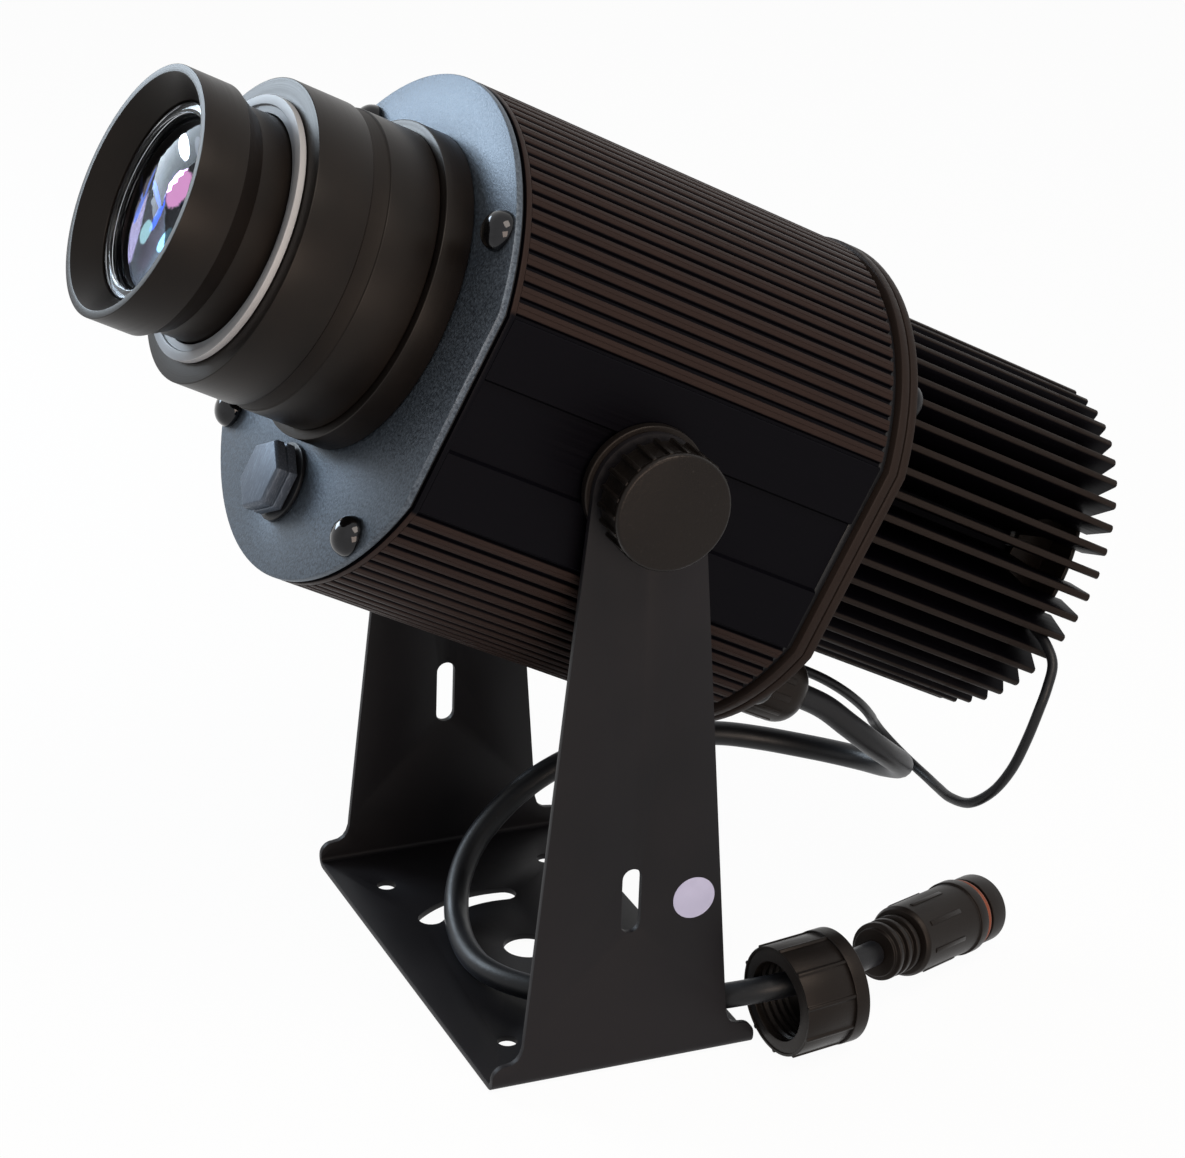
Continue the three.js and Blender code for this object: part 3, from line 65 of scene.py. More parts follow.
# %% Camera
camera_data = bpy.data.cameras.new("camera")
camera_data.lens = 117.068
camera_data.sensor_width = 36
camera = bpy.data.objects.new("camera", camera_data)
camera.matrix_world = Matrix((
    (0.392614, -0.381696, 0.836757, 1.026488),
    (0.919064, 0.128903, -0.372432, -0.460190),
    (0.034295, 0.915255, 0.401413, 0.623917),
    (0, 0, 0, 1),
))
bpy.context.scene.collection.objects.link(camera)
bpy.context.scene.camera = camera
print("camera at", tuple(camera.matrix_world.translation))

# %% [markdown]
# Five matrices carry the pieces from their own axes into the frame. The head's Z runs out of the lens,
# tilted up from the horizontal. The optics lie a little above the middle of the head. The pivots point
# sideways, so their Z runs outwards through an arm. The floor's matrix serves the bracket and the cords.

# %% Places
MM = 0.001
PIVOT_HEIGHT = 195.5
PIVOT = Vector((0, -21.784, PIVOT_HEIGHT)) * MM
TILT = math.radians(90 - 26.86)
RISE = 11.8

head = Matrix.Translation(PIVOT) @ Matrix.Rotation(TILT, 4, "X") @ Matrix.Scale(MM, 4)
optics = head @ Matrix.Translation((0, RISE, 0))
near_side = head @ Matrix.Rotation(math.radians(90), 4, "Y")
far_side = head @ Matrix.Rotation(math.radians(-90), 4, "Y")
ground = Matrix.Translation((0, PIVOT.y, 0)) @ Matrix.Scale(MM, 4)
OPTICAL_AXIS = optics.translation
print("lens axis", tuple(round(value, 3) for value in (head.to_3x3() @ Vector((0, 0, 1000)))))

# %% [markdown]
# Shaders are easier to read as sums than as a net of boxes. A signal wraps one output socket, and a plus or
# times sign on it adds a Math node. A net makes any node from its type, its settings and what goes into it,
# for a material or for the world. A finish is a net with a Principled shader, and its short methods name
# what the surfaces here use: noise, a changed range, a mix of two colours and a bump.

# %% Shader helpers
class Signal:
    """One output socket of a shader node, with sums in plain Python."""

    def __init__(self, net, socket):
        self.net = net
        self.socket = socket

    def maths(self, operation, other=0.0):
        return self.net.node("ShaderNodeMath", {"operation": operation}, {0: self, 1: other})

    def __add__(self, other):
        return self.maths("ADD", other)

    def __mul__(self, other):
        return self.maths("MULTIPLY", other)

    __radd__ = __add__
    __rmul__ = __mul__


class Net:
    """The nodes of a material or of the world."""

    def __init__(self, tree):
        self.tree = tree

    def feed(self, node, values):
        for key, value in values.items():
            if isinstance(value, Signal):
                self.tree.links.new(value.socket, node.inputs[key])
            else:
                node.inputs[key].default_value = value

    def node(self, kind, settings, values, output=0):
        node = self.tree.nodes.new(kind)
        for key, value in settings.items():
            setattr(node, key, value)
        self.feed(node, values)
        return Signal(self, node.outputs[output])


class Finish(Net):
    """A procedural material with a Principled shader."""

    def __init__(self, name, constants):
        self.material = bpy.data.materials.new(name)
        self.material.use_nodes = True
        super().__init__(self.material.node_tree)
        self.shader = self.tree.nodes["Principled BSDF"]
        self.feed(self.shader, constants)

    def surface(self, **values):
        """Feeds what changes over the surface, such as base_color=."""
        self.feed(self.shader, {key.replace("_", " ").title(): value for key, value in values.items()})
        return self.material

    def local(self, origin=(0, 0, 0), turn=(0, 0, 0)):
        """Object coordinates on a piece's own axes."""
        plain = self.node("ShaderNodeTexCoord", {}, {}, "Object")
        return self.node(
            "ShaderNodeMapping", {"vector_type": "TEXTURE"},
            {"Vector": plain, "Location": origin, "Rotation": turn},
        )

    def stretched(self, vector, scale):
        return self.node("ShaderNodeVectorMath", {"operation": "MULTIPLY"}, {0: vector, 1: scale})

    def distance(self, vector):
        """How far a place lies from the Z axis."""
        flat = self.stretched(vector, (1, 1, 0))
        return self.node("ShaderNodeVectorMath", {"operation": "LENGTH"}, {0: flat}, "Value")

    def along(self, vector, axis):
        return self.node("ShaderNodeSeparateXYZ", {}, {"Vector": vector}, axis)

    def noise(self, vector, scale, detail=2.0, roughness=0.5):
        values = {"Vector": vector, "Scale": scale, "Detail": detail, "Roughness": roughness}
        return self.node("ShaderNodeTexNoise", {}, values)

    def between(self, value, low, high, to_low=0.0, to_high=1.0):
        """Maps a range onto another, held at its ends."""
        values = {"Value": value, 1: low, 2: high, 3: to_low, 4: to_high}
        return self.node("ShaderNodeMapRange", {"clamp": True}, values)

    def spread(self, noise, low=0.0, high=1.0):
        """Maps a noise's usual values onto a range."""
        return self.between(noise, 0.3, 0.7, low, high)

    def colours(self, mask, first, second):
        """Mixes two colours by a mask. They go into sockets 6 and 7 and come out of output 2."""
        return self.node("ShaderNodeMix", {"data_type": "RGBA"}, {0: mask, 6: first, 7: second}, 2)

    def bump(self, height, distance):
        return self.node("ShaderNodeBump", {}, {"Height": height, "Distance": distance, "Strength": 1.0})

    def skin(self, mask, dark, light, roughness, height, depth):
        """The usual surface: two colours mixed by a mask, a roughness and a bump."""
        colour = self.colours(mask, dark, light)
        return self.surface(base_color=colour, roughness=roughness, normal=self.bump(height, depth))


def rgb(*parts):
    """A colour from its three parts, or a grey from one."""
    return (*(parts * 3)[:3], 1.0)


# %% [markdown]
# Moulded rubber and plastic look plain from afar, yet they are never even. Each has a fine grain that
# breaks up its highlights, a slow change of gloss where hands have touched it, and a few specks of dust.
# Three noises give these, and the grain also drives a bump: the mesh stays smooth, but light falls on it as
# on a rough skin.

# %% Rubber and moulded plastic
def moulded(name, colour, roughness, grain_size, grain_height, constants):
    finish = Finish(name, constants)
    place = finish.local()
    smudge = finish.noise(place, 38.0, 3.0)
    grain = finish.noise(place, 1.0 / grain_size, 3.0, 0.6)
    dust = finish.between(finish.noise(place, 900.0), 0.66, 0.78)
    dusty = tuple(min(1.0, value * 2.0 + 0.012) for value in colour[:3]) + (1.0,)
    polish = finish.spread(smudge, roughness - 0.07, roughness + 0.07) + grain * 0.06
    return finish.skin(dust * 0.5, colour, dusty, polish, grain, grain_height)


black_plastic = moulded("black_plastic", rgb(0.0068, 0.0056, 0.0052), 0.34, 0.0006, 0.00005, {
    "Specular IOR Level": 0.17, "Specular Tint": rgb(1.0, 0.88, 0.8),
})
knob_plastic = moulded("knob_plastic", rgb(0.0048, 0.0038, 0.0032), 0.28, 0.0011, 0.00012, {
    "Specular IOR Level": 0.19, "Specular Tint": rgb(1.0, 0.9, 0.85),
})
black_rubber = moulded("black_rubber", rgb(0.006, 0.0065, 0.008), 0.37, 0.0009, 0.00006, {
    "Specular IOR Level": 0.25, "Sheen Weight": 0.05, "Sheen Roughness": 0.4,
    "Sheen Tint": rgb(0.5, 0.56, 0.75),
})
orange_rubber = moulded("orange_rubber", rgb(0.2, 0.055, 0.028), 0.42, 0.0007, 0.00003, {
    "Specular IOR Level": 0.25,
})
print("moulded finishes ready")

# %% [markdown]
# A cord is bent from a straight tube, so its mesh follows the route that the cord takes. The route's points
# are the same as the CAD model's. A centripetal spline runs through them without loops or overshoot, and a
# curve with a round bevel gives the tube, which is then made a mesh.

# %% Cord helpers
def smooth_route(points, steps=8):
    """Points on a centripetal spline through the given points, in metres."""
    points = [ground @ Vector(point) for point in points]
    ends = [points[0] * 2 - points[1], *points, points[-1] * 2 - points[-2]]
    route = []
    for a, b, c, d in zip(ends, ends[1:], ends[2:], ends[3:]):
        t1 = (b - a).length ** 0.5
        t2 = t1 + (c - b).length ** 0.5
        t3 = t2 + (d - c).length ** 0.5
        for step in range(steps):
            t = t1 + (t2 - t1) * step / steps
            ab = a.lerp(b, t / t1)
            bc = b.lerp(c, (t - t1) / (t2 - t1))
            cd = c.lerp(d, (t - t2) / (t3 - t2))
            route.append(ab.lerp(bc, t / t2).lerp(bc.lerp(cd, (t - t1) / (t3 - t1)), (t - t1) / (t2 - t1)))
    return [*route, points[-1]]


def cord_tube(name, route, diameter, finish):
    """A round mesh tube along the route, closed at both ends."""
    curve = bpy.data.curves.new(name, "CURVE")
    curve.dimensions = "3D"
    curve.bevel_depth = diameter / 2
    curve.bevel_resolution = 6
    curve.use_fill_caps = True
    spline = curve.splines.new("POLY")
    spline.points.add(len(route) - 1)
    for point, place in zip(spline.points, route):
        point.co = (*place, 1)
    drawn = bpy.data.objects.new(name + "_route", curve)
    mesh = bpy.data.meshes.new_from_object(drawn)
    bpy.data.objects.remove(drawn)
    mesh.name = name
    mesh.materials.clear()
    mesh.materials.append(finish)
    mesh.polygons.foreach_set("use_smooth", [True] * len(mesh.polygons))
    piece = bpy.data.objects.new(name, mesh)
    bpy.context.scene.collection.objects.link(piece)
    return piece


def route_length(route):
    return sum((b - a).length for a, b in zip(route, route[1:]))


# %% [markdown]
# The power cable is 8.3 mm rubber cable, stiff enough to hold a wide loop. It leaves the gland under the rear
# cover, hangs back and down, comes round behind the near arm, lies on the bracket's base and ends at the
# plug.

# %% Power cable
CABLE_DIAMETER = 8.3 * MM
BLEND_END_HEIGHT = 0.052
cable_route = smooth_route([
    (36, 74.7, 98.8), (36.3, 85.3, 92.4), (36.4, 94.8, 84.2), (35.1, 104.1, 76), (31.4, 113, 68.3),
    (24.9, 120.9, 61.2), (15.6, 125.8, 54.8), (4.3, 126.8, 49.8), (-7.4, 124, 47.1), (-17.8, 117.5, 46),
    (-26.1, 108.2, 46.3), (-32.1, 97.4, 47.7), (-36.1, 85.7, 49.4), (-38.2, 73.5, 50.4), (-39.4, 61.1, 50.3),
    (-40.7, 48.7, 49.4), (-42, 36.4, 47.1), (-42.7, 24.6, 42.6), (-42.4, 13.5, 36.5), (-40.8, 3.3, 29),
    (-37.2, -5.7, 20.9), (-30.3, -12.7, 13.1), (-20.2, -17.5, 7.9), (-8.4, -20.8, 6.4), (3.8, -22.9, 6.4),
    (16.1, -22.9, 6.9), (27.9, -19.7, 7.9), (38.5, -13.4, 9), (47.7, -5.1, 9.8), (55.4, 4.7, 10.4),
    (61.9, 15.2, 11.4), (68, 25.9, 13), (73.9, 36.6, 15.8), (80, 46.8, 19.5), (82.2, 57.8, 21.3),
    (80.9, 69.4, 21.7), (76, 80.2, 20.6), (70.4, 91, 19.1),
])
power_cable = cord_tube("power_cable_rubber", cable_route, CABLE_DIAMETER, black_rubber)
above, below = cable_route[0], cable_route[0].copy()
below.z = BLEND_END_HEIGHT
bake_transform(power_cable)
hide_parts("power_cable")
print("cable", round(route_length(cable_route), 3), "m")

# %% [markdown]
# The fan lead is a thinner, softer lead. It leaves a grommet in the rear cover, hangs in a loop below the
# heat sink and turns in behind it to the fan. Both ends belong to the head, so the whole lead rides on it.
# Tilted far back, its loop would meet the bracket's base.

# %% Fan lead
LEAD_DIAMETER = 3.4 * MM
lead_route = smooth_route([
    (14, 52.6, 112.8), (14.1, 63.3, 107.2), (14.2, 74.2, 102), (14, 85.1, 96.8), (13.2, 95.6, 90.9),
    (11.6, 105.3, 83.8), (8.5, 113.9, 75.9), (2.4, 120.9, 68.1), (-2.5, 124.9, 63.2), (-4.7, 129.6, 57.3),
    (-2.5, 134.5, 51.5), (3.4, 138, 47.6), (11.3, 139.1, 46.5), (19.4, 138.7, 46.8), (31.5, 137.4, 48.6),
    (43.1, 138.2, 52.2), (51.9, 141.1, 60.1), (57.9, 143.8, 70.4), (61.8, 145.9, 81.8), (63.8, 148.5, 93.6),
    (63.3, 151.2, 101.2), (59.8, 154.5, 107.5), (53.5, 155, 112.1), (45.8, 154.6, 114.6),
    (38.2, 154.6, 117.2), (30.9, 154.8, 119.7),
])
fan_lead = cord_tube("fan_lead_rubber", lead_route, LEAD_DIAMETER, black_rubber)
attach(fan_lead, "head")
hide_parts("fan_lead")
route_length(lead_route)
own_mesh(fan_lead)
print("lead", round(route_length(lead_route), 3), "m")

# %% [markdown]
# Most of this object is turned on a lathe or cut from flat stock, so nearly every piece starts from an
# outline, a list of points. Real edges are never sharp, so one helper sets a small arc at each corner of an
# outline. The others give arcs and round holes, with angles in degrees. Screws and posts come in fours, so
# the signs of four corners are kept once.

# %% Outline helpers
def rounded(corners, radius, closed=False, steps=3):
    """An outline whose corners are small arcs. The ends of an open outline stay as they are."""
    corners = [Vector(corner) for corner in corners]
    around = [corners[-1], *corners, corners[0]] if closed else corners
    points = [] if closed else [corners[0]]
    for before, corner, after in zip(around, around[1:], around[2:]):
        reach = min(radius, (before - corner).length / 2.1, (after - corner).length / 2.1)
        start = corner + (before - corner).normalized() * reach
        end = corner + (after - corner).normalized() * reach
        for step in range(steps + 1):
            share = step / steps
            points.append(start.lerp(corner, share).lerp(corner.lerp(end, share), share))
    return points if closed else [*points, corners[-1]]


def polar(radius, angle):
    return radius * math.cos(math.radians(angle)), radius * math.sin(math.radians(angle))


def arc(radius, start, end, steps, centre=(0, 0)):
    """Points on an arc, from one angle to another."""
    points = [polar(radius, start + (end - start) * step / steps) for step in range(steps + 1)]
    return [(centre[0] + x, centre[1] + y) for x, y in points]


def hole(radius, centre=(0, 0), steps=72):
    return arc(radius, 0, 360, steps, centre)[:-1]


CORNERS = ((1, 1), (-1, 1), (-1, -1), (1, -1))

# %% [markdown]
# Two helpers make nearly every solid. One spins an outline of (radius, height) points about Z, as a lathe
# does. The other fills flat loops, the first one the outside and the rest holes, and pulls the face up into
# a plate, with a narrow bevel along its rims. A finished piece rides on a body and stands in for a CAD
# node.

# %% Solid helpers
CREASE = math.radians(38)


def spun(outline, closed=False, steps=96):
    """A turned shape from points of (radius, height)."""
    shape = bmesh.new()
    points = [shape.verts.new((x, 0, z)) for x, z in outline]
    pairs = list(zip(points, points[1:]))
    if closed:
        pairs.append((points[-1], points[0]))
    edges = [shape.edges.new(pair) for pair in pairs]
    bmesh.ops.spin(
        shape, geom=points + edges, axis=(0, 0, 1), cent=(0, 0, 0), angle=math.tau, steps=steps,
        use_merge=True,
    )
    bmesh.ops.remove_doubles(shape, verts=shape.verts, dist=0.001)
    bmesh.ops.recalc_face_normals(shape, faces=shape.faces)
    return shape


def rod(radius, bottom, top, steps):
    return spun([(0, bottom), (radius, bottom), (radius, top), (0, top)], steps=steps)


def flat_ring(inner, outer, bottom, top, edge, steps=96):
    """A ring of rectangular section with rounded edges."""
    corners = [(inner, bottom), (outer, bottom), (outer, top), (inner, top)]
    return spun(rounded(corners, edge, True), True, steps)


def rims(shape, least=50):
    """The edges where two faces meet at more than the given angle."""
    return [edge for edge in shape.edges if edge.calc_face_angle(0) > math.radians(least)]


def bevelled(shape, edges, width, segments=2):
    bmesh.ops.bevel(
        shape, geom=edges, offset=width, offset_type="OFFSET", segments=segments, profile=0.5,
        affect="EDGES", clamp_overlap=True, material=-1,
    )
    return shape


def filled(loops, level=0.0):
    """A flat face: the first loop is its outside, the others are holes in it."""
    shape = bmesh.new()
    for loop in loops:
        points = [shape.verts.new((x, y, level)) for x, y in loop]
        for pair in zip(points, points[1:] + points[:1]):
            shape.edges.new(pair)
    bmesh.ops.triangle_fill(shape, edges=shape.edges, use_beauty=True)
    return shape


def plate(loops, bottom, top, rim=0.0):
    """A filled face pulled up from one height to another, with bevelled rims."""
    shape = filled(loops, bottom)
    pulled = bmesh.ops.extrude_face_region(shape, geom=shape.faces[:])["geom"]
    lifted = [item for item in pulled if isinstance(item, bmesh.types.BMVert)]
    bmesh.ops.translate(shape, verts=lifted, vec=(0, 0, top - bottom))
    bmesh.ops.recalc_face_normals(shape, faces=shape.faces)
    if rim:
        level = [edge for edge in rims(shape) if abs(edge.verts[0].co.z - edge.verts[1].co.z) < 1e-6]
        bevelled(shape, level, rim)
    return shape


def gathered(*shapes):
    """Several shapes in one mesh."""
    whole = bmesh.new()
    for shape in shapes:
        part = bpy.data.meshes.new("part")
        shape.to_mesh(part)
        shape.free()
        whole.from_mesh(part)
        bpy.data.meshes.remove(part)
    return whole


def moved(shape, x=0.0, y=0.0, z=0.0, turn=0.0, axis="Z"):
    """The shape turned about an axis and then shifted."""
    matrix = Matrix.Translation((x, y, z)) @ Matrix.Rotation(math.radians(turn), 4, axis)
    bmesh.ops.transform(shape, matrix=matrix, verts=shape.verts)
    return shape


def block(size, edge, out, height, turn):
    """A bevelled block, set out along X and then turned about Z."""
    shape = bmesh.new()
    bmesh.ops.create_cube(shape, size=1, matrix=Matrix.Diagonal((*size, 1)))
    bevelled(shape, shape.edges[:], edge)
    moved(shape, out, 0, height)
    return moved(shape, turn=turn)


def finished(name, shape, place, finish, body, node):
    """Sets a shape in place as an object that rides on a body and stands for a CAD node."""
    bmesh.ops.transform(shape, matrix=place, verts=shape.verts)
    for face in shape.faces:
        face.smooth = True
    for edge in shape.edges:
        edge.smooth = edge.calc_face_angle(0) < CREASE
    mesh = bpy.data.meshes.new(name)
    shape.to_mesh(mesh)
    shape.free()
    mesh.materials.append(finish)
    piece = bpy.data.objects.new(name, mesh)
    bpy.context.scene.collection.objects.link(piece)
    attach(piece, body)
    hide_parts(node)
    print(name, len(mesh.polygons), "faces")
    return piece


def head_piece(name, shape, finish, node):
    finished(name, shape, head, finish, "head", node)


# %% [markdown]
# The plug's coupling nut is moulded in hard black plastic and lies loose on the cable. It is open and
# threaded at its front, with low grip ribs round its body. A spun section gives the inside, with the thread
# drawn as four rings, and a ribbed plate round it gives the grip.

# %% Coupling nut
def aimed(point, heading, droop=0.0):
    """A place on the floor's frame whose Z points along a heading, drooping below it."""
    turn = Matrix.Rotation(math.radians(heading), 4, "Z") @ Matrix.Rotation(math.radians(90 + droop), 4, "Y")
    return ground @ Matrix.Translation(point) @ turn


nut_place = aimed((85.3, 59.8, 18.7), 99.3) @ Matrix.Translation((0, 0, -11.75))
nut_ribs = []
for rib in range(10):
    start = 36 * rib
    nut_ribs += arc(17.8, start + 2.5, start + 33.5, 8) + arc(18.4, start + 34.6, start + 37.4, 1)
nut_outline = [(17.3, 0.3), (12.8, 0.0)]
for thread in range(4):
    start = thread * 2.6
    nut_outline += [(12.8, start + 2.2), (13.6, start + 3.2), (13.6, start + 3.7), (12.8, start + 4.6)]
nut_outline += [
    (12.8, 19.5), (10.5, 19.5), (10.5, 23.5), (17.8, 23.5), (18.6, 22.9), (18.6, 18), (17.4, 18),
]
nut_inside = spun(rounded(nut_outline, 0.25, True), True)
nut_grip = plate([rounded(nut_ribs, 0.25, True, 2), hole(16.9, steps=80)], 0, 18.4, 0.5)
coupling_nut = finished(
    "nut_moulding", gathered(nut_inside, nut_grip), nut_place, black_plastic, "coupling_nut",
    "connector_nut",
)

# %% [markdown]
# The plug itself has a ringed tail that guards the cable where it bends, a plain body with eight low grips,
# and three pins in its open end. An orange rubber ring seals it in its socket.

# %% Plug
plug_place = aimed((70.4, 91, 19.1), 117.5, 7) @ Matrix.Translation((0, 0, 0.3))
TAIL = 14
plug_outline = [(0, 0), (8, 0)]
for groove in range(3):
    start = TAIL / 3 * groove
    plug_outline += [(8, start + 1.17), (9.6, start + 1.4), (9.6, start + 3.3), (8, start + 3.5)]
plug_outline += [
    (8, TAIL), (10.9, TAIL), (11.8, 15.4), (11.8, 44.5), (12.5, 44.5), (12.5, 48.7), (9.4, 48.7), (9.4, 52.9),
    (11.5, 52.9), (11.5, 60.2), (10.8, 60.9), (9.5, 60.9), (9.5, 54.9), (0, 54.9),
]
plug_parts = [spun(rounded(plug_outline, 0.35))]
for pin in range(3):
    pin_shape = spun([(0, 54.2), (1.3, 54.2), (1.3, 58.7), (0.9, 59.3), (0, 59.5)], steps=16)
    plug_parts.append(moved(pin_shape, *polar(5.8, 120 * pin)))
plug_parts += [block((0.9, 1.6, 17), 0.25, 11.7, 27, 45 * grip) for grip in range(8)]
plug = finished(
    "plug_moulding", gathered(*plug_parts), plug_place, black_plastic, "bracket",
    "connector_body",
)
seal = finished(
    "plug_seal_ring", spun(hole(1.15, (10.75, 50.5), 16), True), plug_place, orange_rubber, "bracket",
    "connector_oring",
)
route_length(cable_route)

# %% [markdown]
# The aluminium parts are all black, yet they catch the light in different ways. The housing is extruded, so
# its marks run lengthwise. A mask by radius paints a highlight on the tops of its ribs, on the rim of the
# rear end and on the tips of the heat sink's fins. It leaves the grooves, the gaps between the fins and the
# housing's flat sides darker as painted shade. The optics are turned, so their marks run round the axis. The
# front cover is bead-blasted and shows a blue-grey speckle. Stretched noise gives the marks, and fine noise
# the speckle.

# %% Aluminium finishes
NO_FLATS = 90 * MM
BAND_START, BAND_END = 95.5, 101.3


def extruded_finish(name, middle, crest, flats, dark, light):
    """A painted highlight beyond a radius from an axis, painted shade nearer the axis, and painted shade
    wherever X lies beyond the flats.
    """
    finish = Finish(name, {"Specular IOR Level": 0.055, "Specular Tint": rgb(0.95, 0.92, 1.0)})
    place = finish.local(middle, (TILT, 0, 0))
    drawn = finish.noise(finish.stretched(place, (1, 1, 0.012)), 1400.0)
    cloud = finish.noise(place, 24.0, 3.0)
    grain = finish.noise(place, 2600.0)
    sideways = finish.along(place, "X").maths("ABSOLUTE")
    # Painted highlight beyond the crest radius, on rib tops and fin tips; painted shade inside it and on the
    # flat sides.
    high = finish.between(finish.distance(place), crest - 0.35 * MM, crest)
    painted_crest_highlight = high * finish.between(sideways, flats - 0.6 * MM, flats, 1.0, 0.0)
    polish = finish.spread(drawn, 0.34, 0.48) + cloud * 0.06
    return finish.skin(painted_crest_highlight * (0.8 + cloud * 0.4), dark, light, polish, drawn * 0.6 + grain * 0.4, 0.00003)


def turned_finish(name, gloss, dark, light):
    """Rings round the optical axis, and the tube's shallow band a little duller."""
    finish = Finish(name, {"Specular IOR Level": gloss, "Specular Tint": rgb(1.0, 0.95, 0.9)})
    place = finish.local(OPTICAL_AXIS, (TILT, 0, 0))
    height = finish.along(place, "Z")
    cut = finish.node("ShaderNodeCombineXYZ", {}, {"X": finish.distance(place), "Z": height})
    rings = finish.noise(cut, 3200.0, 2.0, 0.7)
    cloud = finish.noise(place, 30.0, 3.0)
    start, end = BAND_START * MM, BAND_END * MM
    soft = 0.2 * MM
    band = finish.between(height, start - soft, start + soft)
    band *= finish.between(height, end - soft, end + soft, 1.0, 0.0)
    polish = finish.spread(rings, 0.27, 0.38) + cloud * 0.06 + band * 0.22
    return finish.skin(finish.spread(cloud), dark, light, polish, rings, 0.000012)


def blasted_finish():
    finish = Finish("front_cover", {
        "Metallic": 0.5, "Specular IOR Level": 0.5, "Specular Tint": rgb(0.86, 0.93, 1.0),
    })
    place = finish.local(PIVOT, (TILT, 0, 0))
    speckle = finish.noise(place, 1100.0, 4.0, 0.75)
    cloud = finish.noise(place, 22.0, 3.0)
    tone = finish.between(speckle, 0.38, 0.66) * 0.8 + cloud * 0.2
    polish = finish.between(speckle, 0.35, 0.65, 0.34, 0.52)
    return finish.skin(tone, rgb(0.02, 0.026, 0.036), rgb(0.115, 0.142, 0.175), polish, speckle, 0.00009)


anodised = extruded_finish(
    "anodised_body", PIVOT, 80.4 * MM, 73.9 * MM, rgb(0.001, 0.0009, 0.0018), rgb(0.0235, 0.0155, 0.0135),
)
end_finish = extruded_finish(
    "anodised_end", PIVOT, 60 * MM, NO_FLATS, rgb(0.004), rgb(0.02, 0.0148, 0.013),
)
sink_finish = extruded_finish(
    "anodised_sink", OPTICAL_AXIS, 55.6 * MM, NO_FLATS, rgb(0.0012, 0.001, 0.0018), rgb(0.016, 0.0125, 0.011),
)
machined = turned_finish("machined_optics", 0.155, rgb(0.0042, 0.0033, 0.003), rgb(0.0098, 0.0075, 0.0064))
pale_ring = turned_finish("lock_ring", 0.15, rgb(0.36, 0.38, 0.41), rgb(0.46, 0.48, 0.51))
blasted = blasted_finish()
print("aluminium finishes ready")

# %% [markdown]
# The housing is one aluminium extrusion. Its round stretches are ribbed all along for cooling, and each rib
# has a rounded top with a hair-fine line along its middle. Two flat sides with a shallow channel take the
# pivots. A section drawn once and pulled lengthwise gives all of it, and a plain land closes the ribs in
# front.

# %% Housing
RADIUS, FLAT = 80.5, 74.3
CORNER_ANGLE = math.degrees(math.acos(FLAT / RADIUS))
FIRST_GROOVE = 23.5
RIBS = 37
FRONT_END = 62.5


def ribbed_section():
    """The outside of the extrusion, with a groove on each side of every rib."""
    pitch = (180 - 2 * FIRST_GROOVE) / RIBS
    half_groove = [(-0.45, -1.2), (0.45, -1.2), (0.72, -0.5), (0.95, -0.14), (1.3, 0)]
    groove = [(-x, y) for x, y in reversed(half_groove[2:])] + half_groove
    fine_line = [(-0.2, 0), (0, -0.16), (0.2, 0)]
    points = []
    for side, sign in ((0, -1), (180, 1)):
        points += [(RADIUS, side + CORNER_ANGLE)]
        for number in range(RIBS + 1):
            middle = side + FIRST_GROOVE + number * pitch
            points += [(RADIUS + y, middle + math.degrees(x / RADIUS)) for x, y in groove]
            if number < RIBS:
                top = middle + pitch / 2
                points += [(RADIUS + y, top + math.degrees(x / RADIUS)) for x, y in fine_line]
        points += [(RADIUS, side + 180 - CORNER_ANGLE)]
        for x, y in ((FLAT, -12), (FLAT - 1.6, -11.2), (FLAT - 1.6, 11.2), (FLAT, 12)):
            points.append((math.hypot(x, y), math.degrees(math.atan2(sign * y, sign * x))))
    return [polar(radius, angle) for radius, angle in points]


def cover_outline(radius, flat):
    corner = math.degrees(math.acos(flat / radius))
    return arc(radius, corner, 180 - corner, 48) + arc(radius, 180 + corner, 360 - corner, 48)


inside = cover_outline(RADIUS - 5.5, FLAT - 8.3)
ribs = plate([ribbed_section(), inside], -73.0, FRONT_END)
land = plate([cover_outline(RADIUS, FLAT), inside], FRONT_END, 64.4, 0.25)
head_piece("housing_extrusion", gathered(ribs, land), anodised, "housing")

# %% [markdown]
# Thin rubber gaskets seal the covers. They lie a little inside the edges, which shows as a dark line round
# each joint. The front cover is a single blasted plate. The rear has an end frame and a plate, both a touch
# larger than the housing. What stands on a cover starts 0.3 mm clear of it, as in the CAD model.

# %% Covers and gaskets
FRONT_FACE, REAR_FACE = 68.3, -82.8
PLUG_Y = -54


def ring_plate(radius, flat, bottom, top, rim=0.2):
    return plate([cover_outline(radius, flat), inside], bottom, top, rim)


front_gasket = ring_plate(79.3, 73.1, 64.7, 65.4, 0.1)
front_loops = [cover_outline(RADIUS, FLAT), hole(40, (0, RISE)), hole(6.3, (0, PLUG_Y), 24)]
rear_gasket = ring_plate(78.7, 72.5, -75.5, -73.3)
rear_frame = ring_plate(81.3, 75.1, -79.0, -75.8, 0.6)
rear_loops = [cover_outline(81.3, 75.1), hole(27, (0, RISE), 64)]
head_piece("front_gasket_rubber", front_gasket, black_rubber, "front_gasket")
head_piece("front_cover_plate", plate(front_loops, 65.7, 68.0, 0.45), blasted, "front_plate")
head_piece("rear_gasket_rubber", rear_gasket, black_rubber, "rear_gasket")
head_piece("rear_frame", rear_frame, end_finish, "rear_end_frame")
head_piece("rear_cover", plate(rear_loops, -82.5, -79.3, 0.8), end_finish, "rear_plate")

# %% [markdown]
# Steel screws with smooth domed heads hold the covers. The front ones are plated glossy black, and their
# small mirror-like domes carry the brightest points on the front. The rear ones are dull. One outline,
# spun, serves all eight.

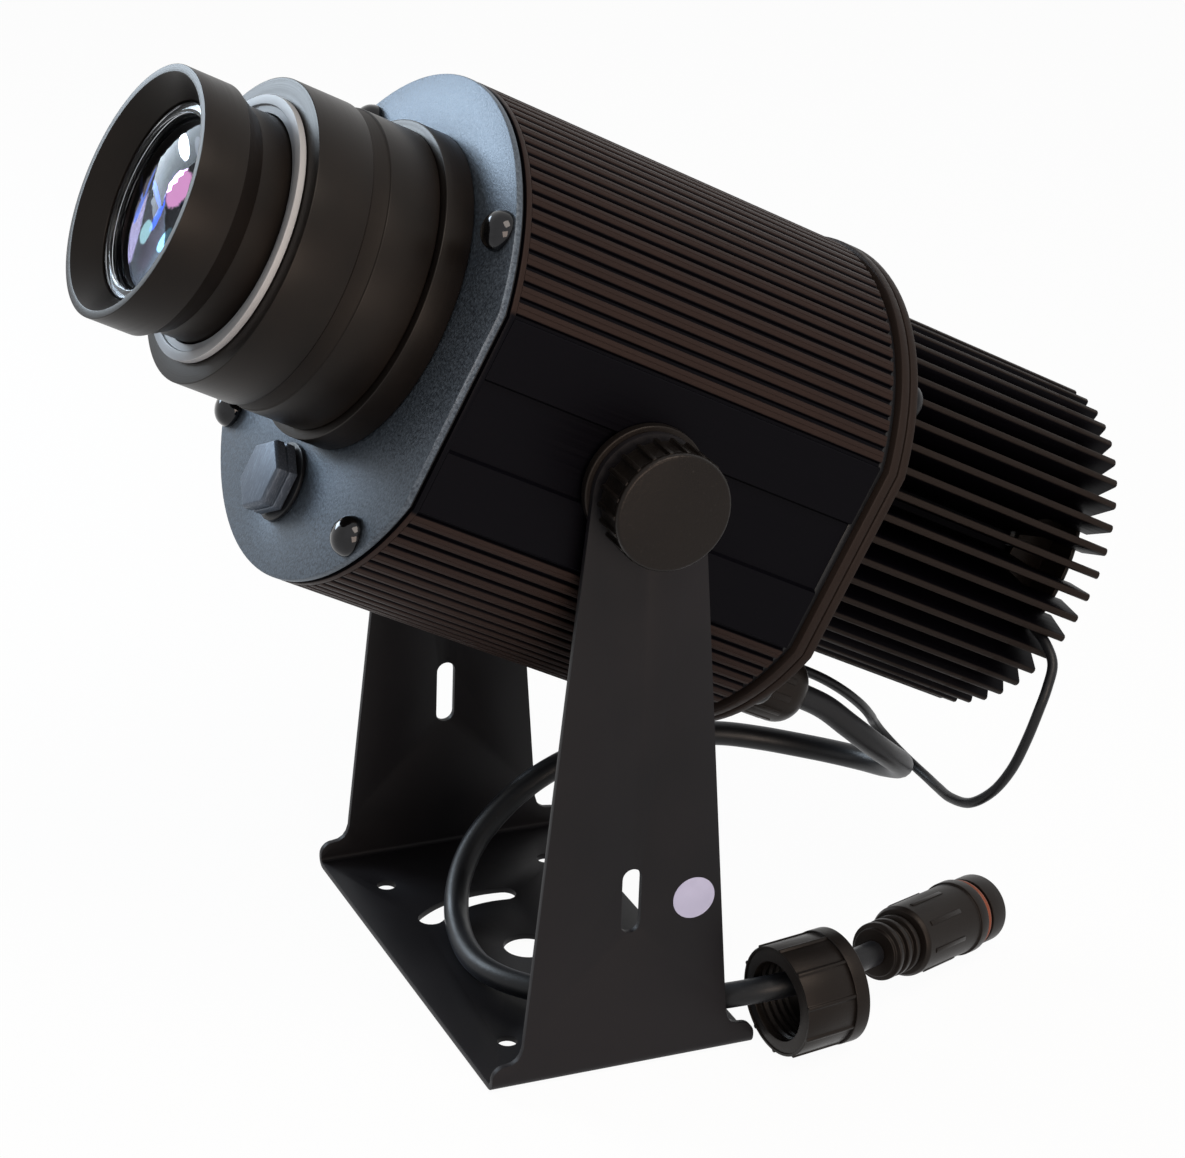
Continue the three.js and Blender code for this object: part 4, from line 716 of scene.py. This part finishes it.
# %% Screws
def plated_finish(name, coat, roughness):
    finish = Finish(name, {"Metallic": 0.9, "Coat Weight": coat, "Coat Roughness": 0.02})
    place = finish.local()
    cloud = finish.noise(place, 260.0, 3.0)
    grain = finish.noise(place, 1500.0)
    polish = finish.spread(cloud, roughness, roughness + 0.08)
    return finish.skin(cloud, rgb(0.008), rgb(0.022, 0.022, 0.025), polish, grain, 0.000004)


black_steel = plated_finish("black_steel", 0.3, 0.05)
dull_steel = plated_finish("dull_steel", 0.0, 0.4)
SCREW_X, SCREW_Y = 54.12, 49.87
dome = [(6.1 * x, 1.1 + 4.5 * y) for x, y in arc(1, 0, 90, 9)]
outline = rounded([(0, -20), (2, -20), (2, 0), (6.3, 0), (6.3, 1.1)], 0.2) + dome[1:-1] + [(0, 5.6)]
ends = (("front", FRONT_FACE, 0, black_steel), ("rear", REAR_FACE, 180, dull_steel))
for number, (x, y) in enumerate(CORNERS, 1):
    for end, height, turn, finish in ends:
        screw = moved(spun(outline, steps=40), SCREW_X * x, SCREW_Y * y, height, turn, "Y")
        name = f"{end}_screw_{number}"
        head_piece(name + "_dome", screw, finish, name)

# %% [markdown]
# The plug low on the front lets air in and out of the sealed housing. It is moulded in plastic as a hexagon
# in two bands, with a rubber washer under it, and its face is finely scratched: noise stretched far more
# one way than the other. A six-step spin gives the hexagon, turned so that two of its flats face sideways.

# %% Pressure plug
HEX_WIDTH = 20.5
WASHER_TOP = FRONT_FACE + 1.2
HEX_BASE = WASHER_TOP + 0.6


def scratched_finish():
    finish = Finish("plug_plastic", {
        "Metallic": 0.3, "Specular IOR Level": 0.4, "Specular Tint": rgb(0.85, 0.92, 1.0),
    })
    place = finish.local(PIVOT, (TILT, 0, math.radians(35)))
    scratches = finish.noise(finish.stretched(place, (1, 0.06, 1)), 2200.0, 3.0, 0.7)
    grain = finish.noise(place, 1300.0)
    mask = finish.between(scratches, 0.5, 0.7)
    marks = scratches * 0.7 + grain * 0.3
    polish = finish.spread(grain, 0.36, 0.5)
    # Both colours are partly painted light: lifted to a pale blue-grey as a painted reflection of the key
    # lamp, which the face does not catch. The paler streaks are the scratches.
    return finish.skin(mask, rgb(0.065, 0.082, 0.11), rgb(0.14, 0.17, 0.215), polish, marks, 0.00002)


plug_plastic = scratched_finish()
corner = HEX_WIDTH / 2 / math.cos(math.radians(30))
waist = corner - 0.9
hexagon = [
    (0, 0), (corner, 0), (corner, 3), (waist, 3), (waist, 3.7), (corner, 3.7), (corner, 6.4), (waist, 7.3),
    (0, 7.3),
]
hex_head = moved(spun(hexagon, steps=6), z=HEX_BASE, turn=30)
bevelled(hex_head, rims(hex_head, 20), 0.45, 3)
hex_shape = moved(gathered(hex_head, rod(6, 57.7, HEX_BASE + 0.7, 32)), 0, PLUG_Y)
head_piece("pressure_plug", hex_shape, plug_plastic, "hex_plug")
washer = moved(flat_ring(6.3, 12.5, FRONT_FACE, WASHER_TOP, 0.3), 0, PLUG_Y)
head_piece("pressure_plug_washer", washer, black_rubber, "plug_seal")

# %% [markdown]
# The projection lens sits in turned black parts: a flange on the front cover, a wide tube with one shallow
# band, a pale lock ring, and the barrel that is turned to focus, which opens into a hood. All are outlines
# spun about the optical axis.

# %% Lens tube and barrel
def turned_piece(name, outline, finish, body, node, edge=0.35):
    shape = spun(rounded(outline, edge, True), True, 128)
    finished(name, shape, optics, finish, body, node)


turned_piece("flange_turning", [
    (36.3, 63.3), (39.7, 63.3), (39.7, FRONT_FACE), (50.7, FRONT_FACE), (50.7, 78), (44.4, 78), (44.4, 71.3),
    (36.3, 71.3),
], machined, "head", "lens_flange")
turned_piece("tube_turning", [
    (36, 71.6), (44.1, 71.6), (44.1, 78.3), (47.8, 78.3), (47.8, BAND_START), (47.3, BAND_START + 0.2),
    (47.3, BAND_END), (47.8, BAND_END + 0.2), (47.8, 120.1), (36, 120.1),
], machined, "head", "lens_tube")
turned_piece("lock_ring_turning", [
    (36, 120.4), (41.5, 120.4), (41.5, 122.6), (38.4, 122.6), (38.4, 121.8), (36, 121.8),
], pale_ring, "lock_ring", "lock_ring", 0.25)
turned_piece("barrel_turning", [
    (26, 75.7), (35.6, 75.7), (35.6, 131.5), (39.2, 138), (39.2, 152.9), (36.7, 152.9), (31, 145.2),
    (30.7, 138), (28.5, 138), (28.5, 83.4), (26, 83.4),
], machined, "focus_barrel", "focus_barrel", 0.2)
turned_piece("cell_spacer", [
    (26.8, 91), (28.2, 91), (28.2, 138), (26.8, 138),
], machined, "lens_cell", "lens_spacer", 0.2)

# %% [markdown]
# The front lens is a bulging disc of coated glass in a clear ring. Its soft patches of colour are painted
# reflections: masks draw them in the material, because a white studio has nothing like them to mirror. All
# the glass bends light less than real glass, so that the dark inside shows as in the photo. The lenses
# further in also have a thin film, which tints what they mirror.

# %% Glass
def lens_face(rim, height, bulge, steps=12):
    """Points from the rim of a spherical face to its middle."""
    sphere = (rim * rim + bulge * bulge) / (2 * bulge)
    spread = math.asin(rim / sphere)
    angles = [spread * (1 - step / steps) for step in range(steps + 1)]
    return [(sphere * math.sin(a), height + sphere * (math.cos(a) - math.cos(spread))) for a in angles]


def glass_finish(name, bend, film, tint):
    finish = Finish(name, {
        "Transmission Weight": 1.0, "IOR": bend, "Thin Film Thickness": film, "Thin Film IOR": 1.9,
    })
    place = finish.local()
    smear = finish.noise(place, 90.0, 3.0)
    polish = finish.between(smear, 0.4, 0.75, 0.0, 0.03)
    return finish.skin(smear * 0.3, tint, rgb(0.8), polish, smear, 0.000002)


def painted_reflections_finish():
    """Dark glass with a few soft patches of colour painted on as reflections."""
    finish = Finish("painted_reflection_lens", {"Transmission Weight": 1.0, "IOR": 1.12})
    place = finish.local(OPTICAL_AXIS, (TILT, 0, 0))
    wobble = finish.noise(place, 330.0, 3.0, 0.6)
    grit = finish.noise(place, 1500.0)

    def patch(across, up, wide, tall, turn=0.0, frayed=0.5):
        centre = finish.node("ShaderNodeMapping", {"vector_type": "TEXTURE"}, {
            "Vector": place, "Location": (across * MM, up * MM, 0), "Rotation": (0, 0, math.radians(turn)),
            "Scale": (wide * MM, tall * MM, 1),
        })
        return finish.between(finish.distance(centre) + wobble * frayed, 1.0 + frayed / 2, 0.85 + frayed / 2)

    # Painted reflections: each mask below draws one reflected patch of colour, and the white one is a window.
    magenta = patch(12.5, 7.4, 5.5, 6.5)
    painted_window_reflection = patch(1.4, 17.8, 7.5, 2.0, -19, 0.15)
    crescent = patch(-14, -10, 3.2, 14, 25, 0.3)
    cyan = patch(6.3, -8.7, 3, 4.5, -20)
    strokes = patch(-10.5, 0, 7, 1.0, -22) + patch(-5, 3, 6, 0.9, -70) + patch(-4, -5.5, 4.5, 1.8, 90, 0.9)
    tint = finish.colours(grit * 0.2, rgb(0.16, 0.18, 0.22), rgb(0.26, 0.28, 0.32))
    for mask, colour in (
        (crescent, rgb(0.5, 0.36, 0.46)), (cyan, rgb(0.4, 0.75, 0.85)), (strokes, rgb(0.05, 0.16, 0.75)),
        (magenta, rgb(0.8, 0.36, 0.72)), (painted_window_reflection, rgb(1.0)),
    ):
        tint = finish.colours(mask, tint, colour)
    return finish.surface(
        base_color=tint,
        metallic=crescent * 0.45 + cyan * 0.75 + strokes * 0.75 + magenta * 0.8 + painted_window_reflection,
        roughness=finish.between(wobble, 0.4, 0.75, 0.0, 0.04),
        normal=finish.bump(wobble, 0.000004),
    )


lens_glass = glass_finish("lens_glass", 1.2, 420.0, rgb(0.4, 0.44, 0.52))
painted_reflection_glass = painted_reflections_finish()
clear_plastic = glass_finish("clear_plastic", 1.25, 0.0, rgb(0.55, 0.58, 0.62))
front_shape = spun(rounded([(0, 138.3), (30.4, 138.3), (30.4, 142.6), *lens_face(27, 142.6, 5)], 0.05))
finished("front_lens_glass", front_shape, optics, painted_reflection_glass, "lens_cell", "front_lens")
rear_shape = spun(rounded([(0, 83.7), (28.2, 83.7), (28.2, 90.7), *lens_face(24, 90.7, 5)], 0.05))
finished("rear_lens_glass", rear_shape, optics, lens_glass, "lens_cell", "rear_lens")
clear = flat_ring(27.3, 30.4, 142.9, 144.9, 0.4, 128)
finished("clear_ring", clear, optics, clear_plastic, "lens_cell", "lens_retaining_ring")

# %% [markdown]
# The heat sink is an extrusion too: long fins stand out from a core and thicken to rounded tips. At the
# rear they are cut back to leave a round pocket for the fan, so there only their outer ends go on.

# %% Heat sink
FINS = 44
CORE, POCKET, FIN_LENGTH = 27, 43.5, 28.3
POCKET_FLOOR, SINK_END = -163.9, -181.3
FAN_SCREW = 25


def fin_points(root):
    """One fin along X, from its root to its tip and back."""
    tip = [(55.1 + 0.9 * x, 1.3 * y) for x, y in arc(1, -90, 90, 4)]
    slim = 0.95 + 0.2 * (root - CORE) / FIN_LENGTH
    return [(root, -slim), *tip, (root, slim)]


def turned_points(points, angle):
    c, s = math.cos(angle), math.sin(angle)
    return [(x * c - y * s, x * s + y * c) for x, y in points]


fin_angles = [math.radians(3) + math.tau * number / FINS for number in range(FINS)]
core = [point for angle in fin_angles for point in turned_points(fin_points(CORE), angle)]
sink_parts = [plate([core], POCKET_FLOOR, REAR_FACE)]
for angle in fin_angles:
    sink_parts.append(plate([turned_points(fin_points(POCKET), angle)], SINK_END, POCKET_FLOOR, 0.15))
for x, y in CORNERS:
    sink_parts.append(moved(rod(4.2, -163.85, -84, 24), FAN_SCREW * x, FAN_SCREW * y))
sink_parts.append(rod(26.4, -83, -72, 64))
finished("sink_extrusion", gathered(*sink_parts), optics, sink_finish, "head", "heat_sink")

# %% [markdown]
# A standard 60 mm fan sits in the pocket and blows air along the fins. Its frame is a moulded square with a
# round duct and four struts that hold the motor, and a flat flange ring fills the pocket's mouth round it.
# Each blade is a thin sheet that is curved across and twists from its root to its tip: a grid, bent point
# by point and then thickened.

# %% Fan
screws = [(FAN_SCREW * x, FAN_SCREW * y) for x, y in CORNERS]
square = []
for quarter, (x, y) in enumerate(CORNERS):
    square += arc(4, 90 * quarter, 90 * quarter + 90, 6, (26 * x, 26 * y))
frame_loops = [square, hole(28.6), *[hole(1.9, place, 16) for place in screws]]
frame_parts = [
    plate(frame_loops, -179.2, -164.2, 0.4),
    plate([hole(43, steps=96), hole(29.5)], -178.9, -177.4, 0.2),
    flat_ring(1.8, 13, -166.7, -164.2, 0.3, 48),
]
frame_parts += [block((17.6, 3, 2.5), 0.3, 20.8, -165.45, 45 + 90 * strut) for strut in range(4)]
finished("fan_moulding", gathered(*frame_parts), optics, black_plastic, "head", "fan_frame")


def fan_blade():
    """A cambered, twisted sheet from the hub out along X."""
    blade = bmesh.new()
    bmesh.ops.create_grid(blade, x_segments=8, y_segments=8, size=0.5)
    for vert in blade.verts:
        out = vert.co.x + 0.5
        chord = 13 + 4 * out
        pitch = math.radians(46 - 14 * out)
        across = vert.co.y * chord
        camber = 1.6 * (1 - (vert.co.y * 2) ** 2)
        rise = across * math.sin(pitch) + camber * math.cos(pitch)
        flat = across * math.cos(pitch) - camber * math.sin(pitch)
        radius = 11.5 + 15.9 * out
        turn = flat / max(radius, 14)
        vert.co = (radius * math.cos(turn), radius * math.sin(turn), rise)
    bmesh.ops.recalc_face_normals(blade, faces=blade.faces)
    bmesh.ops.solidify(blade, geom=blade.faces[:], thickness=1.1)
    return blade


BLADES = 7
rotor_outline = [(0, -178.4), (12.5, -178.4), (12.5, -167.5), (0, -167.5)]
rotor_parts = [spun(rounded(rotor_outline, 1.0), steps=64)]
rotor_parts += [moved(fan_blade(), 0, 0, -173, 360 * number / BLADES) for number in range(BLADES)]
rotor = gathered(*rotor_parts)
finished("rotor_moulding", rotor, optics, black_plastic, "fan_rotor", "fan_rotor")
outline = rounded([(0, -23.6), (1.5, -23.6), (1.5, 0), (2.8, 0), (2.8, 1.2), (2.2, 1.8), (0, 1.8)], 0.2)
for number, (x, y) in enumerate(screws, 1):
    name = f"fan_screw_{number}"
    screw = moved(spun(outline, steps=24), x, y, -179.5, 180, "Y")
    finished(name + "_head", screw, optics, black_steel, "head", name)

# %% [markdown]
# The cable leaves through a moulded gland: a hexagon against the cover, and a ribbed cap that is screwed
# down to squeeze the cable. The thin lead has a plain rubber grommet.

# %% Gland and grommet
hex_base = moved(rod(11.78, 0, 5, 6), turn=30)
bevelled(hex_base, rims(hex_base, 20), 0.5, 3)
dome = [(5.4 + 6 * x, 20.2 + 7 * y) for x, y in arc(1, 0, 90, 10)]
cap = spun([
    (0, -11), (7.8, -11), (7.8, 2.5), (9.5, 2.5), (9.5, 5.8), (11.2, 5.8), (11.4, 6.2), *dome, (0, 27.2),
])
grips = [block((0.8, 2.2, 12.5), 0.3, 11.25, 13, 30 * grip) for grip in range(12)]
gland = moved(gathered(hex_base, cap, *grips), 36, -52.5, REAR_FACE, 180, "Y")
head_piece("gland_moulding", gland, black_plastic, "cable_gland")
grommet_outline = [(0, -84), (5, -84), (5, REAR_FACE), (3.2, REAR_FACE), (3.2, -77.8), (0, -77.8)]
grommet = moved(spun(rounded(grommet_outline, 0.4), steps=32), 14, -50)
head_piece("grommet_rubber", grommet, black_rubber, "lead_grommet")

# %% [markdown]
# The bracket is one strip of 2 mm steel, cut flat with all its holes and then folded up on both sides. It
# is made here in the same order. First come the outline of the flat blank and the loops of its holes.

# %% Bracket blank
BEND, FOLD = 3.5, 76.5
BEND_LENGTH = BEND * math.pi / 2
ARM_TOP = 17.9
ARC_RADIUS, ARC_HALF_WIDTH, ARC_HALF_ANGLE = 36.5, 4.25, 24.75


def up_arm(height):
    """How far out along the flat blank a height on the arm lies."""
    return FOLD + BEND_LENGTH + height - BEND


def arm_outline():
    """Half of the blank's outline: along the foot, up one edge of the arm, over its top and back."""
    neck_y, neck_z = 34.1, 17.0
    drop = PIVOT_HEIGHT - neck_z
    touch = math.degrees(math.atan2(-drop, neck_y) + math.acos(ARM_TOP / math.hypot(neck_y, drop)))
    foot = [(44.5, 3.6), *[(40.1 + x, 4.2 + y) for x, y in arc(4.4, 0, 90, 8)]]
    neck = [(40.1 + (neck_y - 40.1) * t * (2 - t), 8.6 + 8.4 * t * t) for t in (0.2, 0.4, 0.6, 0.8, 1.0)]
    top = arc(ARM_TOP, touch, 180 - touch, 40, (0, PIVOT_HEIGHT))
    side = foot + neck
    loop = side + top + [(-y, z) for y, z in reversed(side)]
    return [(up_arm(z), y) for y, z in loop]


def slot_loop(width, length, centre):
    r, half = width / 2, (length - width) / 2
    return arc(r, -90, 90, 12, (centre + half, 0)) + arc(r, 90, 270, 12, (centre - half, 0))


def arc_slot(middle):
    """A slot bent round the middle of the base."""
    start, end = middle - ARC_HALF_ANGLE, middle + ARC_HALF_ANGLE
    end_cap = arc(ARC_HALF_WIDTH, end, end + 180, 10, polar(ARC_RADIUS, end))[1:-1]
    start_cap = arc(ARC_HALF_WIDTH, start + 180, start + 360, 10, polar(ARC_RADIUS, start))[1:-1]
    outer = arc(ARC_RADIUS + ARC_HALF_WIDTH, start, end, 16)
    inner = arc(ARC_RADIUS - ARC_HALF_WIDTH, end, start, 16)
    return outer + end_cap + inner + start_cap


half_outline = arm_outline()
blank_loops = [half_outline + [(-x, -y) for x, y in half_outline]]
blank_loops += [hole(8, steps=40), arc_slot(15.25), arc_slot(195.25)]
blank_loops += [hole(3.25, (x, y), 24) for x in (-54.8, 54.8) for y in (-29.3, 29.3)]
for side in (1, -1):
    blank_loops.append([(side * x, y) for x, y in slot_loop(6.5, 22, up_arm(59.5))])
    blank_loops.append([(side * x, y) for x, y in hole(4.3, (up_arm(PIVOT_HEIGHT), 0), 32)])
print(len(blank_loops), "loops in the blank")

# %% [markdown]
# The paint is a thin black coat whose uneven skin is two noises in a bump. The blank is cut across at nine
# lines in each bend, so that it has points to move there, and folded. Solidify then thickens the sheet to 2
# mm against its normals, so those have to point down and outwards, and Bevel breaks its edges.

# %% Bracket folding
BEND_CUTS = 8


def painted_finish():
    finish = Finish("painted_bracket", {"Specular IOR Level": 0.17})
    place = finish.local()
    peel = finish.noise(place, 950.0, 3.0, 0.6)
    fine = finish.noise(place, 3000.0)
    cloud = finish.noise(place, 16.0, 3.0)
    dark, light = rgb(0.0048, 0.0044, 0.0056), rgb(0.0088, 0.0078, 0.0094)
    polish = finish.spread(cloud, 0.4, 0.5) + fine * 0.08
    return finish.skin(finish.spread(cloud), dark, light, polish, peel * 0.5 + fine * 0.5, 0.00004)


def folded(point):
    """Where a point of the flat blank goes when the strip is bent up."""
    side = math.copysign(1, point.x)
    beyond = abs(point.x) - FOLD
    if beyond <= 0:
        return Vector((point.x, point.y, 0))
    if beyond < BEND_LENGTH:
        angle = beyond / BEND
        return Vector((side * (FOLD + BEND * math.sin(angle)), point.y, BEND * (1 - math.cos(angle))))
    return Vector((side * (FOLD + BEND), point.y, BEND + beyond - BEND_LENGTH))


painted = painted_finish()
blank = filled(blank_loops)
for side in (1, -1):
    for step in range(BEND_CUTS + 1):
        line = side * (FOLD + BEND_LENGTH * step / BEND_CUTS)
        geometry = blank.verts[:] + blank.edges[:] + blank.faces[:]
        bmesh.ops.bisect_plane(blank, geom=geometry, dist=1e-5, plane_co=(line, 0, 0), plane_no=(1, 0, 0))
for vert in blank.verts:
    vert.co = folded(vert.co)
bmesh.ops.recalc_face_normals(blank, faces=blank.faces)
if sum(face.normal.z for face in blank.faces if face.calc_center_median().z < 0.1) > 0:
    bmesh.ops.reverse_faces(blank, faces=blank.faces)
bracket = finished("bracket_steel", blank, ground, painted, "bracket", "bracket")
sheet = bracket.modifiers.new("sheet", "SOLIDIFY")
sheet.thickness = 2 * MM
sheet.offset = -1
sheet.use_even_offset = True
edges = bracket.modifiers.new("edges", "BEVEL")
edges.width = 0.3 * MM
edges.segments = 2
edges.limit_method = "ANGLE"
edges.angle_limit = math.radians(50)

# %% [markdown]
# A round sticker sits low on the near arm: pale lavender paper under a gloss film, left without print.

# %% Sticker
def paper_finish():
    finish = Finish("sticker", {"Coat Weight": 0.3, "Coat Roughness": 0.15})
    place = finish.local()
    fibres = finish.noise(place, 1800.0, 3.0)
    cloud = finish.noise(place, 160.0)
    polish = finish.spread(fibres, 0.32, 0.42)
    return finish.skin(cloud, rgb(0.38, 0.39, 0.58), rgb(0.48, 0.49, 0.7), polish, fibres, 0.000008)


paper = paper_finish()
sticker_place = ground @ Matrix.Translation((80, 21.1, 57)) @ Matrix.Rotation(math.radians(90), 4, "Y")
sticker_shape = spun(rounded([(0, 0), (7, 0), (7, 0.2), (0, 0.2)], 0.06), steps=64)
finished("sticker_disc", sticker_shape, sticker_place, paper, "bracket", "round_sticker")

# %% [markdown]
# On each side a plastic disc keeps the arm off the housing, and a hand knob with a steel washer clamps it.
# The knob is moulded: a ring of grip ribs between a collar and a wide flat cap.

# %% Knobs
RIDGES = 21
BORE = 4.3
half_ridge = math.degrees(1.7 / 17.6 / 2)
knob_outline = []
for ridge in range(RIDGES):
    middle = 360 * ridge / RIDGES
    for radius, offset in ((17.5, -1.0), (18.6, -0.7), (18.6, 0.7), (17.5, 1.0)):
        knob_outline.append(polar(radius, middle + half_ridge * offset))
for side, place in (("near", near_side), ("far", far_side)):
    disc = flat_ring(BORE, 19.5, 74.6, 77.7, 0.5)
    finished(f"{side}_disc", disc, place, black_plastic, "head", f"{side}_spacer_disc")
    steel = flat_ring(BORE, 12, 80.3, 81.8, 0.25)
    finished(
        f"{side}_washer_steel", steel, place, black_steel, f"{side}_washer",
        f"{side}_knob_washer",
    )
    collar = flat_ring(BORE, 12.5, 82.1, 85.6, 0.3)
    body = plate([rounded(knob_outline, 0.35, True, 2)], 84.6, 96.8, 0.6)
    cap = spun(rounded([(0, 95.6), (18.3, 95.6), (18.3, 97.6), (17.6, 98.4), (0, 98.6)], 0.7))
    knob, name = gathered(collar, body, cap), f"{side}_knob"
    finished(name + "_moulding", knob, place, knob_plastic, name, name)

# %% [markdown]
# Pieces that stay inside keep the CAD model's shapes, but each still gets its own finish, since a designer
# may open the housing: bare aluminium, bright steel, a white circuit board and the yellow of an LED's
# phosphor.

# %% Inner finishes
def metal_finish(name, colour, roughness, scale):
    finish = Finish(name, {"Metallic": 1.0})
    place = finish.local(PIVOT, (TILT, 0, 0))
    marks = finish.noise(finish.stretched(place, (1, 1, 0.05)), scale, 3.0)
    paler = tuple(min(1.0, value * 1.25) for value in colour[:3]) + (1.0,)
    polish = finish.spread(marks, roughness - 0.08, roughness + 0.08)
    return finish.skin(marks, colour, paler, polish, marks, 0.00001)


bright_steel = metal_finish("bright_steel", rgb(0.5, 0.51, 0.53), 0.3, 700.0)
bare_aluminium = metal_finish("bare_aluminium", rgb(0.52, 0.53, 0.55), 0.4, 900.0)
white_board = moulded("white_board", rgb(0.79, 0.79, 0.75), 0.35, 0.0008, 0.00001, {})
phosphor = moulded("phosphor", rgb(0.89, 0.68, 0.1), 0.5, 0.0004, 0.00002, {})

inner = {
    bright_steel: ["near_knob_stud", "far_knob_stud", "engine_screw_1", "engine_screw_2"],
    bare_aluminium: ["condenser_barrel", "condenser_spacer", "gobo_holder", "led_driver"],
    white_board: ["led_board"],
    phosphor: ["led_emitter"],
    lens_glass: ["condenser_lens_rear", "condenser_lens_front"],
    black_steel: ["gobo_disc"],
    black_plastic: ["gland_nut"],
}
for finish, names in inner.items():
    for name in names:
        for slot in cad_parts[name].material_slots:
            slot.material = finish
print(sum(len(names) for names in inner.values()), "inner pieces finished")

# %% [markdown]
# The floor and the world are white to the camera, in reflections and through glass, but the world lights
# things at a fifth of that. The floor keeps a trace of its own shading, for the shadow. Three soft lamps
# light the object: a bluish key from the front left, a warm one overhead and a warm low one from the right.

# %% Floor and light
FLOOR_GLOW = 0.96
WORLD_LIGHT = 0.2
floor_shape = bmesh.new()
bmesh.ops.create_grid(floor_shape, x_segments=1, y_segments=1, size=6)
floor_mesh = bpy.data.meshes.new("floor")
floor_shape.to_mesh(floor_mesh)
floor_shape.free()
floor = bpy.data.objects.new("floor", floor_mesh)
floor.location.z = -0.0005
bpy.context.scene.collection.objects.link(floor)


def seen(net):
    """1 for rays from the camera, in reflections and through glass, and 0 for others."""
    kinds = ("Is Camera Ray", "Is Glossy Ray", "Is Transmission Ray")
    camera_ray, glossy_ray, glass_ray = [net.node("ShaderNodeLightPath", {}, {}, kind) for kind in kinds]
    return (camera_ray + glossy_ray + glass_ray).maths("MINIMUM", 1.0)


floor_finish = Finish("floor", {"Base Color": rgb(0.9), "Roughness": 0.9, "Specular IOR Level": 0.1})
lit = Signal(floor_finish, floor_finish.shader.outputs[0])
glow = floor_finish.node("ShaderNodeEmission", {}, {"Color": rgb(1.0), "Strength": 1.0})
share = seen(floor_finish) * FLOOR_GLOW
mixed = floor_finish.node("ShaderNodeMixShader", {}, {0: share, 1: lit, 2: glow})
floor_finish.feed(floor_finish.tree.nodes["Material Output"], {"Surface": mixed})
floor_mesh.materials.append(floor_finish.material)

world = bpy.data.worlds.new("studio")
world.use_nodes = True
bpy.context.scene.world = world
sky = Net(world.node_tree)
strength = seen(sky) * (1 - WORLD_LIGHT) + WORLD_LIGHT
sky.feed(sky.tree.nodes["Background"], {"Color": rgb(1.0), "Strength": strength})


def lamp(name, place, target, size, power, tint):
    data = bpy.data.lights.new(name, "AREA")
    data.shape = "SQUARE"
    data.size = size
    data.energy = power
    data.color = tint
    light = bpy.data.objects.new(name, data)
    away = (Vector(place) - Vector(target)).to_track_quat("Z", "Y")
    light.matrix_world = Matrix.Translation(place) @ away.to_matrix().to_4x4()
    bpy.context.scene.collection.objects.link(light)


middle = (0, 0, 0.15)
lamp("key", (-0.8, -0.5, 0.52), (0, -0.08, 0.24), 0.4, 6.6, (0.74, 0.87, 1.0))
lamp("overhead", (0.7, 0.25, 1.3), middle, 0.7, 10, (1.0, 0.88, 0.76))
lamp("side", (1.4, -0.1, 0.4), middle, 0.7, 9, (1.0, 0.8, 0.66))
bpy.context.scene.view_settings.view_transform = "Standard"
print("floor, world and three lamps ready")

# %% Sizes
def plain(box):
    return [[float(value) for value in corner] for corner in box]
